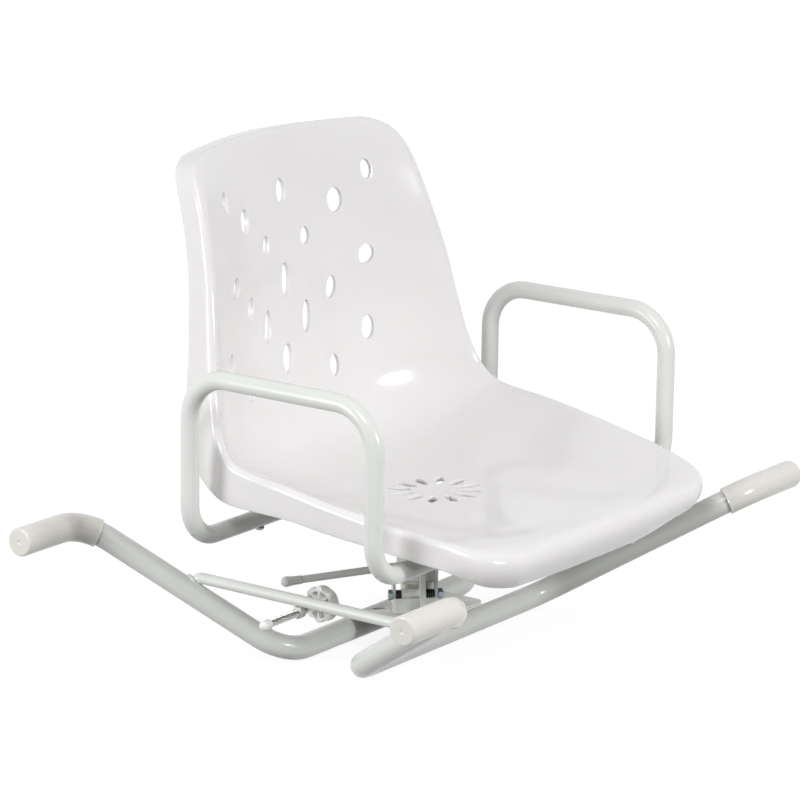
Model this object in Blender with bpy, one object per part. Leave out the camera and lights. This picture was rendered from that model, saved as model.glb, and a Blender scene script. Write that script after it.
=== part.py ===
"""Swivel bath seat: a moulded bucket seat that turns on a post carried by two bent rails.

Frame: metres, +Z up. The sitter faces -Y, so the sitter's right is -X. The swivel axis is the Z axis,
and the rails' bottom sections touch Z = 0.
"""

import math

import bmesh
import bpy
from mathutils import Matrix, Vector

# Clearances
GAP = 0.0003  # between touching pieces
RUNNING = 0.0006  # round a shaft that turns

# Rails
RAIL_D = 0.0254
RAIL_WALL = 0.0016
RAIL_BEND = 0.050  # bend radius, on the centre line
OVERALL_X = 0.720  # end cap to end cap
RIM_X = 0.262  # where the rim end meets the slant
RIM_Y = 0.2387
RIM_RISE = 0.1269  # rim ends above the bottom sections, centre to centre
FOOT_X = 0.1694  # where the slant meets the bottom section
FOOT_Y = 0.0433

# Grip sleeves
GRIP_WALL = 0.0019
GRIP_CAP = 0.0035  # thickness of the closed end
GRIP_EDGE = 0.004  # rounding of the closed end
GRIP_BEND_SHARE = 0.75  # how much of the rail's bend the sleeve covers
GRIP_LIP = 0.0007  # flare of the open end
GRIP_DIMPLE_R = 0.0035
GRIP_DIMPLE_DEPTH = 0.0008

# Cross rods and clamps
ROD_D = 0.012
ROD_BEND = 0.009
ROD_TURN_Y = 0.134  # where the rod turns down to the rail
ROD_RISE = 0.0149  # rod above the rail's centre line there
ROD_INSET = 0.0074  # rod inside the place where it meets that line
NUT_D = 0.012
NUT_LENGTH = 0.009
SCREW_D = 0.008
SCREW_CHAMFER = 0.0008
TIP_REACH = 0.063  # rounded tip's outer end from the rod
TIP_D = 0.0105
TIP_LENGTH = 0.014
TIP_SOCKET = 0.008
KNOB_REACH = 0.0325  # knob's ribbed face from the rod, on the other side
KNOB_D = 0.0385
KNOB_THICKNESS = 0.014
KNOB_LOBES = 8
KNOB_LOBE_DEPTH = 0.0014
KNOB_HUB_D = 0.013
KNOB_HUB_LENGTH = 0.009
KNOB_POCKET_DEPTH = 0.006
KNOB_RIB = 0.0022
KNOB_EDGE = 0.0015
KNOB_SOCKET = 0.018  # how far the screw runs into the knob

# Base plate
BASE_X = 0.130
BASE_INSET = 0.0018  # plate's long edges inside the rails' centre lines
BASE_THICKNESS = 0.004
BASE_CORNER = 0.008
BASE_DRAIN_R = 0.007

# Swivel
POST_D = 0.035
POST_WALL = 0.0025
POST_CAP = 0.006
THRUST_WASHER = 0.005
HUB_WALL = 0.003
HUB_LIFT = 0.0343  # hub above the base plate
BUSH_WALL = 0.00115
BUSH_LENGTH = 0.017
BUSH_FLANGE = 0.0027
UPPER_BUSH_DROP = 0.001  # upper bush below the post's top
KING_D = 0.010
KING_ACROSS = 0.017
KING_HEAD = 0.0064
KING_NUT = 0.008
KING_END = 0.002  # past the nut
KING_CHAMFER = 0.001
KING_WASHER_D = 0.030
KING_WASHER = 0.002
SHEET = 0.004  # turning plate
TURN_X = 0.100
TURN_MARGIN = 0.012  # past the seat tubes, front and back
TURN_FLANGE = 0.018
TURN_BEND = 0.006

# Armrests, whose ends turn in under the seat
ARM_D = 0.01905
ARM_WALL = 0.0015
ARM_X = 0.2645
ARM_FRONT_Y = -0.1355
ARM_REAR_Y = 0.094
ARM_TOP_Z = 0.3195
ARM_LOW_Z = 0.1448
ARM_TOP_BEND = 0.046
ARM_LOW_BEND = 0.040
ARM_DRAIN_R = 0.0018

# Lock, drawn engaged and stored turned to its open stop
LOCK_ANGLE = math.radians(225)  # direction of the lock from the swivel axis
LOCK_OPEN = math.radians(15)
INDEX_STEPS = 4
BRACKET_SHEET = 0.003
BRACKET_BEND = 0.004
BRACKET_REACH = 0.008  # outer face of the front strap past the pivot
BRACKET_LEFT = 0.0303  # outer faces of the walls from the latch
BRACKET_RIGHT = 0.0174
BRACKET_LIFT = 0.0043  # bracket above the base plate
STRAP_DROP = 0.0025  # front strap's top edge under the pivot
LEFT_WALL_RISE = 0.012  # left wall's top edge over the pivot
PIVOT_OUT = 0.0075  # pivot from the post's side
PIVOT_LIFT = 0.0223  # pivot above the base plate
PIVOT_D = 0.006
PIVOT_ACROSS = 0.010
PIVOT_HEAD = 0.004
PIVOT_NUT = 0.005
PIVOT_END = 0.0015  # past the nut
PIVOT_CHAMFER = 0.0005
LATCH_THICKNESS = 0.006
LATCH_WIDTH = 0.0064
LATCH_EYE_R = 0.0052
LATCH_CHAMFER = 0.001
LATCH_CORNER = 0.004
LATCH_DEPTH = 0.0027  # how far the tooth enters the base plate
INDEX_SIDE = 0.0004  # room round the tooth in an index slot
INDEX_END = 0.0004
INDEX_CORNER = 0.001
BARREL_LENGTH = 0.018
SPACER_D = 0.0100
LEVER_D = 0.008
LEVER_RISE = 0.033  # lever over the pivot
LEVER_LENGTH = 0.140
LEVER_DROOP = math.radians(6)
LEVER_CAP_D = 0.0115
LEVER_CAP_LENGTH = 0.022
LEVER_CAP_WALL = 0.0013
LEVER_NECK = 0.0138  # where the ball has run out into the neck
WIRE_D = 0.0016
COIL_R = 0.0044  # spring's coil, on the wire's centre
COIL_TURNS = 4
COIL_PITCH = 0.0022
COIL_POINTS = 10  # in a turn
SPRING_LEG_TOP = 0.014
SPRING_LEG_LEAN = 0.0015
SPRING_HOOK = 0.0075
SPRING_TAIL = 0.0085
SPRING_TAIL_IN = 0.0005  # the tail lies a little inside the coil's rim, clear of the strap

# Seat shell: rows from front to top, each with its centre (y, height) and its rim (half width, y, height);
# heights are from the pan's lowest place
SHELL_ROWS = [
    ((-0.2270, 0.0106), (0.1600, -0.2255, 0.0099)),
    ((-0.2115, 0.0095), (0.1935, -0.2115, 0.0130)),
    ((-0.1817, 0.0071), (0.2120, -0.1810, 0.0193)),
    ((-0.1305, 0.0041), (0.2235, -0.1284, 0.0295)),
    ((-0.0639, 0.0016), (0.2305, -0.0616, 0.0420)),
    ((-0.0027, 0.0000), (0.2318, -0.0053, 0.0517)),
    ((0.0584, 0.0005), (0.2307, 0.0386, 0.0574)),
    ((0.1042, 0.0061), (0.2300, 0.0631, 0.0629)),
    ((0.1399, 0.0224), (0.2276, 0.0774, 0.0747)),
    ((0.1604, 0.0499), (0.2218, 0.0877, 0.0946)),
    ((0.1699, 0.0827), (0.2160, 0.0950, 0.1185)),
    ((0.1739, 0.1276), (0.2087, 0.1024, 0.1565)),
    ((0.1766, 0.1876), (0.2004, 0.1114, 0.2036)),
    ((0.1802, 0.2400), (0.1918, 0.1205, 0.2410)),
    ((0.1843, 0.2870), (0.1822, 0.1350, 0.2880)),
    ((0.1890, 0.3225), (0.1745, 0.1490, 0.3210)),
    ((0.1932, 0.3405), (0.1645, 0.1620, 0.3380)),
    ((0.1955, 0.3515), (0.1425, 0.1745, 0.3470)),
]
SEAT_STAND = 0.003  # pan's lowest place above the seat tubes, bridged by the bosses
SHELL_WALL = 0.004
PAN_CURVE = 2.4  # power of the rise from the centre to the rim, at the pan and at the back
BACK_CURVE = 1.75
THIGH_DIP = 0.004
THIGH_SHARE = 0.45  # place of the thigh hollows across half the width
THIGH_SPREAD = 0.20
THIGH_BACK_Y = 0.020  # the hollows fade out behind this
SKIRT_SIDE_R = 0.007
SKIRT_FRONT_R = 0.016
SKIRT_FRONT = 0.035  # skirt's depth at the front, the thighs, the hips and the back
SKIRT_THIGH = 0.028
SKIRT_HIP = 0.032
SKIRT_BACK = 0.029
SHELL_ACROSS = 19  # faces across, odd so that no edge lies on the middle line
SHELL_ALONG = 23  # faces along

# Back slots: (x, height over the pan's lowest place, width, length); those off the centre are mirrored
BACK_SLOTS = [
    (0.0000, 0.2919, 0.0145, 0.0285),
    (0.0000, 0.1971, 0.0130, 0.0390),
    (0.0000, 0.1119, 0.0160, 0.0340),
    (0.0334, 0.2392, 0.0125, 0.0220),
    (0.0334, 0.1519, 0.0120, 0.0380),
    (0.0776, 0.2724, 0.0190, 0.0285),
    (0.0694, 0.1781, 0.0130, 0.0275),
    (0.0730, 0.0920, 0.0120, 0.0260),
    (0.1215, 0.3005, 0.0125, 0.0235),
    (0.1128, 0.2094, 0.0180, 0.0245),
    (0.1184, 0.1272, 0.0140, 0.0290),
]
SLOT_SIDES = 10

# Drain rosette
ROSETTE_Y = -0.0224
ROSETTE_PETALS = 12
ROSETTE_OUTER_R = 0.052
ROSETTE_INNER_R = 0.024
PETAL_W = 0.011
PETAL_SIDES = 8

# Screws that hold the shell to the seat tubes
SEAT_SCREW_X = 0.150
SEAT_SCREW_D = 0.005
SEAT_SCREW_HEAD_D = 0.010
SEAT_SCREW_HEAD = 0.0032
SEAT_SCREW_BITE = 0.010
BOSS_D = 0.016

# Fineness of round shapes
TUBE_SIDES = 12
SMALL_SIDES = 12
HOLE_SIDES = 8
BIG_SIDES = 24
RAIL_STEPS = 4  # in a bend
ARM_STEPS = 4

# Colours: sRGB, roughness, metallic
EPOXY = ("white_epoxy", (0.87, 0.885, 0.875), 0.30, 0.0)
SEAT_PLASTIC = ("seat_plastic", (0.93, 0.92, 0.91), 0.22, 0.0)
GRIP_PLASTIC = ("grip_plastic", (0.92, 0.91, 0.87), 0.38, 0.0)
PLATED = ("plated_steel", (0.62, 0.62, 0.62), 0.18, 1.0)
ZINC = ("zinc_steel", (0.60, 0.62, 0.63), 0.35, 1.0)
NYLON = ("nylon", (0.88, 0.87, 0.83), 0.45, 0.0)
BLACK_PLASTIC = ("black_plastic", (0.06, 0.06, 0.06), 0.50, 0.0)
SPRING_STEEL = ("spring_steel", (0.12, 0.12, 0.12), 0.35, 1.0)

# Places that follow from the sizes above
RAIL_R = RAIL_D / 2
RIM_Z = RAIL_R + RIM_RISE
BASE_LOW_Z = RAIL_D + GAP
BASE_TOP_Z = BASE_LOW_Z + BASE_THICKNESS
BASE_Y = 2 * (FOOT_Y - BASE_INSET)
TURN_TOP_Z = ARM_LOW_Z - ARM_D / 2 - GAP
TURN_LOW_Z = TURN_TOP_Z - SHEET
SEAT_LEVEL = ARM_LOW_Z + ARM_D / 2 + GAP + SEAT_STAND + SHELL_WALL  # pan's lowest place, upper side
POST_R = POST_D / 2
HUB_R = POST_R + GAP + BUSH_WALL + GAP + HUB_WALL
HUB_BOTTOM = BASE_TOP_Z + HUB_LIFT
HUB_TOP_Z = TURN_LOW_Z - GAP
POST_TOP = HUB_TOP_Z - THRUST_WASHER - GAP - POST_CAP - GAP
KING_R = KING_D / 2
ROD_SHARE = (ROD_TURN_Y - FOOT_Y) / (RIM_Y - FOOT_Y)  # how far up the rail's slant the rod sits
ROD_END_X = FOOT_X + (RIM_X - FOOT_X) * ROD_SHARE
ROD_END_Z = RAIL_R + RIM_RISE * ROD_SHARE
ROD_X = ROD_END_X - ROD_INSET
ROD_Z = ROD_END_Z + ROD_RISE
CLAMP_Z = ROD_Z - ROD_D / 2 - GAP - NUT_D / 2
TIP_OUT_X = ROD_X + TIP_REACH
KNOB_FACE_X = ROD_X - KNOB_REACH
PIVOT_R = POST_R + PIVOT_OUT
PIVOT_Z = BASE_TOP_Z + PIVOT_LIFT
STRAP_TOP_Z = PIVOT_Z - STRAP_DROP
LEVER_Z = PIVOT_Z + LEVER_RISE
BRACKET_FRONT = PIVOT_R + BRACKET_REACH
BRACKET_BACK = math.sqrt((HUB_R + GAP) ** 2 - (BRACKET_RIGHT - BRACKET_SHEET) ** 2)
LATCH_IN = BRACKET_REACH + 2 * GAP  # inner and outer edges of the bar from the pivot
LATCH_OUT = LATCH_IN + LATCH_WIDTH
OUTWARD = Vector((math.cos(LOCK_ANGLE), math.sin(LOCK_ANGLE), 0))
UP = Vector((0, 0, 1))
ALONG = OUTWARD.cross(UP)  # along the pivot, towards the sitter's right rear


def clear_scene():
    for thing in list(bpy.data.objects):
        bpy.data.objects.remove(thing, do_unlink=True)


def linear(value):
    return value / 12.92 if value <= 0.04045 else ((value + 0.055) / 1.055) ** 2.4


def material(look):
    """The Principled material of one of the colours above, made on first use."""
    name, colour, roughness, metallic = look
    made = bpy.data.materials.get(name)
    if made is None:
        made = bpy.data.materials.new(name)
        made.use_nodes = True
        shader = made.node_tree.nodes["Principled BSDF"]
        shader.inputs["Base Color"].default_value = (*[linear(c) for c in colour], 1)
        shader.inputs["Roughness"].default_value = roughness
        shader.inputs["Metallic"].default_value = metallic
        made.diffuse_color = shader.inputs["Base Color"].default_value
    return made


def add_object(name, bm, look, parent=None, smooth=35):
    """An object made from a bmesh, with its own material and smooth round sides."""
    mesh = bpy.data.meshes.new(name)
    bmesh.ops.recalc_face_normals(bm, faces=bm.faces)
    bm.to_mesh(mesh)
    bm.free()
    mesh.materials.append(material(look))
    if smooth:
        mesh.shade_smooth()
        mesh.set_sharp_from_angle(angle=math.radians(smooth))
    made = bpy.data.objects.new(name, mesh)
    bpy.context.scene.collection.objects.link(made)
    made.parent = parent
    return made


def add_empty(name, place, turn=None, parent=None):
    made = bpy.data.objects.new(name, None)
    bpy.context.scene.collection.objects.link(made)
    made.location = place
    made.rotation_euler = (turn or Matrix.Identity(3)).to_euler()
    made.parent = parent
    return made


def cut(target, bm, name, operation="DIFFERENCE"):
    """Cuts a bmesh out of an object, or joins it on, with a hidden guide object."""
    tool = add_object(name, bm, BLACK_PLASTIC, parent=target.parent, smooth=0)
    tool.location = target.location
    tool.rotation_euler = target.rotation_euler
    tool.hide_render = True
    tool.display_type = "WIRE"
    step = target.modifiers.new(name, "BOOLEAN")
    step.operation = operation
    step.solver = "EXACT"
    step.object = tool
    return tool


class BentPath:
    """A centre line of straight runs joined by arcs, read by the distance along it."""

    def __init__(self, corners, bends=(), up=UP):
        self.pieces = []
        self.length = 0
        points = [Vector(c) for c in corners]
        bends = bends or [0] * (len(points) - 2)
        start = points[0]
        ahead = (points[1] - points[0]).normalized()
        side = ahead.cross(up if abs(ahead.dot(up)) < 0.9 else Vector((0, 1, 0))).normalized()
        for i, corner in enumerate(points[1:-1], 1):
            after = (points[i + 1] - corner).normalized()
            turn = ahead.angle(after)
            radius = bends[i - 1]
            reach = radius * math.tan(turn / 2)
            begin = corner - ahead * reach
            self.add_run(start, begin, ahead, side)
            axis = ahead.cross(after).normalized()
            centre = begin + axis.cross(ahead) * radius
            self.pieces.append(("arc", self.length, radius * turn, centre, axis, begin, ahead, side))
            self.length += radius * turn
            spin = Matrix.Rotation(turn, 3, axis)
            side = spin @ side
            ahead = after
            start = corner + after * reach
        self.add_run(start, points[-1], ahead, side)

    def add_run(self, start, end, ahead, side):
        size = (end - start).length
        self.pieces.append(("run", self.length, size, None, None, start, ahead, side))
        self.length += size

    def frame(self, distance):
        """The point, direction and side direction at a distance."""
        piece = self.pieces[0]
        for candidate in self.pieces:
            if distance >= candidate[1] - 1e-9:
                piece = candidate
        kind, begin, size, centre, axis, start, ahead, side = piece
        if kind == "run":
            return start + ahead * (distance - begin), ahead, side
        spin = Matrix.Rotation((distance - begin) / (start - centre).length, 3, axis)
        return centre + spin @ (start - centre), spin @ ahead, spin @ side

    def stations(self, steps, first=0.0, last=None):
        """Distances of the run ends and of even steps round each arc, between two distances."""
        last = self.length if last is None else last
        found = [first]
        for kind, begin, size, *_ in self.pieces:
            count = steps if kind == "arc" else 1
            found += [begin + size * k / count for k in range(count + 1)]
        inside = sorted(s for s in found if first < s < last)
        kept = [first]
        for s in inside:
            if s - kept[-1] > 1e-6 and last - s > 1e-6:
                kept.append(s)
        return kept + [last]


def straight(start, end, up=UP):
    return BentPath([start, end], up=up)


def sweep(bm, path, profile, sides, closed=False):
    """Carries a profile of (distance, radius) round a path. A radius may be a function of the angle.

    A profile that isn't closed begins and ends on the centre line or gets flat ends.
    """
    rings = []
    for distance, radius in profile:
        point, ahead, side = path.frame(distance)
        other = ahead.cross(side)
        if radius == 0:
            rings.append([bm.verts.new(point)])
            continue
        ring = []
        for k in range(sides):
            angle = 2 * math.pi * k / sides
            reach = radius(angle) if callable(radius) else radius
            ring.append(bm.verts.new(point + (side * math.cos(angle) + other * math.sin(angle)) * reach))
        rings.append(ring)
    pairs = list(zip(rings, rings[1:]))
    if closed:
        pairs.append((rings[-1], rings[0]))
    for low, high in pairs:
        for k in range(sides):
            n = k + 1
            corners = [low[k % len(low)], low[n % len(low)], high[n % len(high)], high[k % len(high)]]
            bm.faces.new(list(dict.fromkeys(corners)))
    if not closed:
        for ring in (rings[0], rings[-1]):
            if len(ring) > 1:
                bm.faces.new(ring)
    return bm


def tube(path, outer, wall, sides, steps):
    """A hollow tube along a path, open at both ends."""
    marks = path.stations(steps)
    profile = [(s, outer) for s in marks] + [(s, outer - wall) for s in reversed(marks)]
    return sweep(bmesh.new(), path, profile, sides, closed=True)


def hexagon(across):
    """Radius of a hexagonal outline at an angle, for a hexagon of a size across its flats."""

    def radius(angle):
        return across / 2 / math.cos((angle % (math.pi / 3)) - math.pi / 6)

    return radius


def rod_solid(path, radius, sides, bm=None):
    """A straight round solid, on its own or added to a bmesh."""
    return sweep(bm or bmesh.new(), path, [(0, radius), (path.length, radius)], sides)


def ring_solid(path, outer, inner, sides):
    """A straight round or hexagonal piece with a through hole."""
    profile = [(0, outer), (path.length, outer), (path.length, inner), (0, inner)]
    return sweep(bmesh.new(), path, profile, sides, closed=True)


def dome(radius, degrees, step=30):
    """The profile of a rounded end: a circle's points from its pole to an angle from the pole."""
    angles = [math.radians(a) for a in range(step, degrees + step, step)]
    return [(0, 0)] + [(radius * (1 - math.cos(a)), radius * math.sin(a)) for a in angles]


def prism(outline, depth, place=None, bm=None):
    """An outline of (x, y) points raised along z, then placed by a matrix."""
    bm = bm or bmesh.new()
    place = place or Matrix.Identity(4)
    low = [bm.verts.new(place @ Vector((x, y, 0))) for x, y in outline]
    high = [bm.verts.new(place @ Vector((x, y, depth))) for x, y in outline]
    bm.faces.new(list(reversed(low)))
    bm.faces.new(high)
    for k in range(len(outline)):
        bm.faces.new([low[k - 1], low[k], high[k], high[k - 1]])
    return bm


def arc_points(centre, radius, first, last, steps):
    """Points round an arc, from one angle in degrees to another."""
    angles = [math.radians(first + (last - first) * k / steps) for k in range(steps + 1)]
    return [(centre[0] + radius * math.cos(a), centre[1] + radius * math.sin(a)) for a in angles]


def rounded_rectangle(width, height, corner, steps=3):
    points = []
    for k, (sx, sy) in enumerate([(1, 1), (-1, 1), (-1, -1), (1, -1)]):
        centre = (sx * (width / 2 - corner), sy * (height / 2 - corner))
        points += arc_points(centre, corner, 90 * k, 90 * k + 90, steps)
    return points


def oval(width, height, sides):
    turn = 2 * math.pi / sides
    return [(width / 2 * math.cos(turn * k), height / 2 * math.sin(turn * k)) for k in range(sides)]


def rail_path(side):
    """The centre line of the rail on one side, front -1 or rear 1, from -X to +X."""
    end = OVERALL_X / 2 - GRIP_CAP - GAP
    corners = [(-end, RIM_Y, RIM_Z), (-RIM_X, RIM_Y, RIM_Z), (-FOOT_X, FOOT_Y, RAIL_R)]
    corners += [(-x, y, z) for x, y, z in reversed(corners)]
    return BentPath([(x, side * y, z) for x, y, z in corners], [RAIL_BEND] * 4)


def build_rails():
    for name, side in (("rail_front", -1), ("rail_rear", 1)):
        add_object(name, tube(rail_path(side), RAIL_R, RAIL_WALL, TUBE_SIDES, RAIL_STEPS), EPOXY)


def grip_path(side_x, side_y):
    """The rail's end seen from its cap: the path starts at the cap's outer face."""
    corners = [(OVERALL_X / 2, RIM_Y, RIM_Z), (RIM_X, RIM_Y, RIM_Z), (FOOT_X, FOOT_Y, RAIL_R)]
    return BentPath([(side_x * x, side_y * y, z) for x, y, z in corners], [RAIL_BEND])


def grip_profile(path):
    """The sleeve's profile: dimpled cap, rounded edge, wall to the flared lip, and back inside."""
    bore = RAIL_R + GAP
    outer = bore + GRIP_WALL
    bend = path.pieces[1]
    last = bend[1] + bend[2] * GRIP_BEND_SHARE
    marks = [s for s in path.stations(RAIL_STEPS, GRIP_EDGE, last) if s > GRIP_EDGE]
    edge = GRIP_EDGE * (1 - math.sqrt(0.5))
    profile = [
        (GRIP_DIMPLE_DEPTH, 0),
        (GRIP_DIMPLE_DEPTH, GRIP_DIMPLE_R * 0.6),
        (0, GRIP_DIMPLE_R),
        (0, outer - GRIP_EDGE),
        (edge, outer - edge),
        (GRIP_EDGE, outer),
    ]
    profile += [(s, outer) for s in marks[:-1]]
    profile += [(last - 2 * GRIP_WALL, outer), (last, outer + GRIP_LIP), (last, bore + GRIP_LIP / 2)]
    profile += [(s, bore) for s in reversed(marks[:-1])]
    return profile + [(GRIP_CAP, bore), (GRIP_CAP, 0)]


def build_grips():
    for front_rear, side_y in (("front", -1), ("rear", 1)):
        for right_left, side_x in (("right", -1), ("left", 1)):
            path = grip_path(side_x, side_y)
            bm = sweep(bmesh.new(), path, grip_profile(path), TUBE_SIDES)
            add_object(f"grip_{front_rear}_{right_left}", bm, GRIP_PLASTIC)


def build_cross_rod(name, side):
    """A rod tying the rails together, its ends turned down and shaped to the rails."""
    x = side * ROD_X
    end = side * ROD_END_X
    front = [(end, -ROD_TURN_Y, ROD_END_Z), (x, -ROD_TURN_Y, ROD_Z)]
    rear = [(x, -y, z) for x, y, z in reversed(front)]
    path = BentPath(front + rear, [ROD_BEND, ROD_BEND])
    profile = [(s, ROD_D / 2) for s in path.stations(RAIL_STEPS)]
    rod = add_object(name, sweep(bmesh.new(), path, profile, SMALL_SIDES), EPOXY)
    for place, rail_side in (("front", -1), ("rear", 1)):
        rail = rail_path(rail_side)
        marks = [(s, RAIL_R + GAP) for s in rail.stations(RAIL_STEPS)]
        cut(rod, sweep(bmesh.new(), rail, marks, TUBE_SIDES), f"{name}_saddle_{place}")


def knob_radius(angle):
    return KNOB_D / 2 - KNOB_LOBE_DEPTH * (1 - math.cos(KNOB_LOBES * angle))


def knob_body(side):
    """The lobed knob's line and profile, from its hub's end to its domed face."""
    hub_end = (side * (KNOB_FACE_X + KNOB_HUB_LENGTH), 0, CLAMP_Z)
    domed_face = (side * (KNOB_FACE_X - KNOB_THICKNESS), 0, CLAMP_Z)

    def inset(amount):
        return lambda angle: knob_radius(angle) - amount

    hub = KNOB_HUB_LENGTH
    back = hub + KNOB_THICKNESS
    edge = KNOB_EDGE
    profile = [
        (0, 0),
        (0, KNOB_HUB_D / 2),
        (hub, KNOB_HUB_D / 2),
        (hub, inset(2 * edge)),
        (hub + edge, inset(0)),
        (back - 2 * edge, inset(0.3 * edge)),
        (back, inset(3 * edge)),
        (back, 0),
    ]
    return straight(hub_end, domed_face), profile


def knob_cutters(side):
    """The pockets between the knob's ribs and the socket for its screw."""
    bm = bmesh.new()
    first = KNOB_HUB_D / 2 + KNOB_RIB / 2
    last = KNOB_D / 2 - 2 * KNOB_LOBE_DEPTH - KNOB_RIB
    half = math.pi / KNOB_LOBES
    turn = Vector((-side, 0, 0)).to_track_quat("Z", "Y").to_matrix().to_4x4()
    place = Matrix.Translation((side * (KNOB_FACE_X + KNOB_POCKET_DEPTH), 0, CLAMP_Z)) @ turn
    for k in range(KNOB_LOBES):
        middle = half * (2 * k + 1)
        corners = [(first, -1), (last, -1), (last, 1), (first, 1)]
        polar = [(radius, middle + way * (half - KNOB_RIB / 2 / radius)) for radius, way in corners]
        prism([(r * math.cos(a), r * math.sin(a)) for r, a in polar], 2 * KNOB_POCKET_DEPTH, place, bm)
    line, _ = knob_body(side)
    bore = SCREW_D / 2 + GAP
    return sweep(bm, line, [(-KNOB_HUB_LENGTH, bore), (KNOB_SOCKET + GAP, bore)], SMALL_SIDES)


def build_clamp(name, side):
    """Weld nut, screw, knob and tip on one side; the knob and screw turn, the tip only slides."""
    axis = add_empty(f"clamp_axis_{name}", (side * ROD_X, 0, CLAMP_Z))
    home = Matrix.Translation(-Vector(axis.location))

    def on_axis(bm):
        bm.transform(home)
        return bm

    def line(from_x, to_x):
        return straight((side * from_x, 0, CLAMP_Z), (side * to_x, 0, CLAMP_Z))

    radius = SCREW_D / 2
    bore = radius + GAP
    nut_line = line(ROD_X + NUT_LENGTH / 2, ROD_X - NUT_LENGTH / 2)
    nut = ring_solid(nut_line, NUT_D / 2, bore, SMALL_SIDES)
    add_object(f"clamp_nut_{name}", on_axis(nut), EPOXY, axis)

    screw_in = TIP_OUT_X - TIP_LENGTH + TIP_SOCKET
    screw_line = line(screw_in, KNOB_FACE_X + KNOB_HUB_LENGTH - KNOB_SOCKET)
    profile = [(0, radius - SCREW_CHAMFER), (SCREW_CHAMFER, radius)]
    profile += [(screw_line.length - s, r) for s, r in reversed(profile)]
    screw = sweep(bmesh.new(), screw_line, profile, SMALL_SIDES)
    add_object(f"clamp_screw_{name}", on_axis(screw), PLATED, axis)

    tip_line = line(TIP_OUT_X, TIP_OUT_X - TIP_LENGTH)
    floor = TIP_LENGTH - TIP_SOCKET - GAP
    profile = dome(TIP_D / 2, 90)
    profile += [(TIP_LENGTH, TIP_D / 2), (TIP_LENGTH, bore), (floor, bore), (floor, 0)]
    tip = sweep(bmesh.new(), tip_line, profile, SMALL_SIDES)
    add_object(f"clamp_tip_{name}", on_axis(tip), GRIP_PLASTIC, axis)

    knob_line, profile = knob_body(side)
    body = sweep(bmesh.new(), knob_line, profile, 4 * KNOB_LOBES)
    knob = add_object(f"clamp_knob_{name}", on_axis(body), GRIP_PLASTIC, axis)
    cut(knob, on_axis(knob_cutters(side)), f"clamp_knob_{name}_pockets")


def slot_range():
    """The distances from the swivel axis that a slot covers, so that the tooth can swing out of it."""
    swing = (PIVOT_Z - BASE_TOP_Z + LATCH_DEPTH) * math.sin(LOCK_OPEN)
    return PIVOT_R + LATCH_IN - INDEX_END, PIVOT_R + LATCH_OUT + swing + INDEX_END


def build_base_plate():
    place = Matrix.Translation((0, 0, BASE_LOW_Z))
    body = prism(rounded_rectangle(BASE_X, BASE_Y, BASE_CORNER), BASE_THICKNESS, place)
    plate = add_object("base_plate", body, EPOXY)
    cutters = bmesh.new()
    near, far = slot_range()
    outline = rounded_rectangle(far - near, LATCH_THICKNESS + 2 * INDEX_SIDE, INDEX_CORNER)
    below = Matrix.Translation(((near + far) / 2, 0, BASE_LOW_Z - BASE_THICKNESS))
    for k in range(INDEX_STEPS):
        turn = Matrix.Rotation(LOCK_ANGLE + 2 * math.pi * k / INDEX_STEPS, 4, "Z")
        prism(outline, 3 * BASE_THICKNESS, turn @ below, cutters)
    line = straight((0, 0, BASE_LOW_Z - BASE_THICKNESS), (0, 0, BASE_TOP_Z + BASE_THICKNESS))
    rod_solid(line, BASE_DRAIN_R, SMALL_SIDES, cutters)
    cut(plate, cutters, "base_plate_slots")


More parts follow.
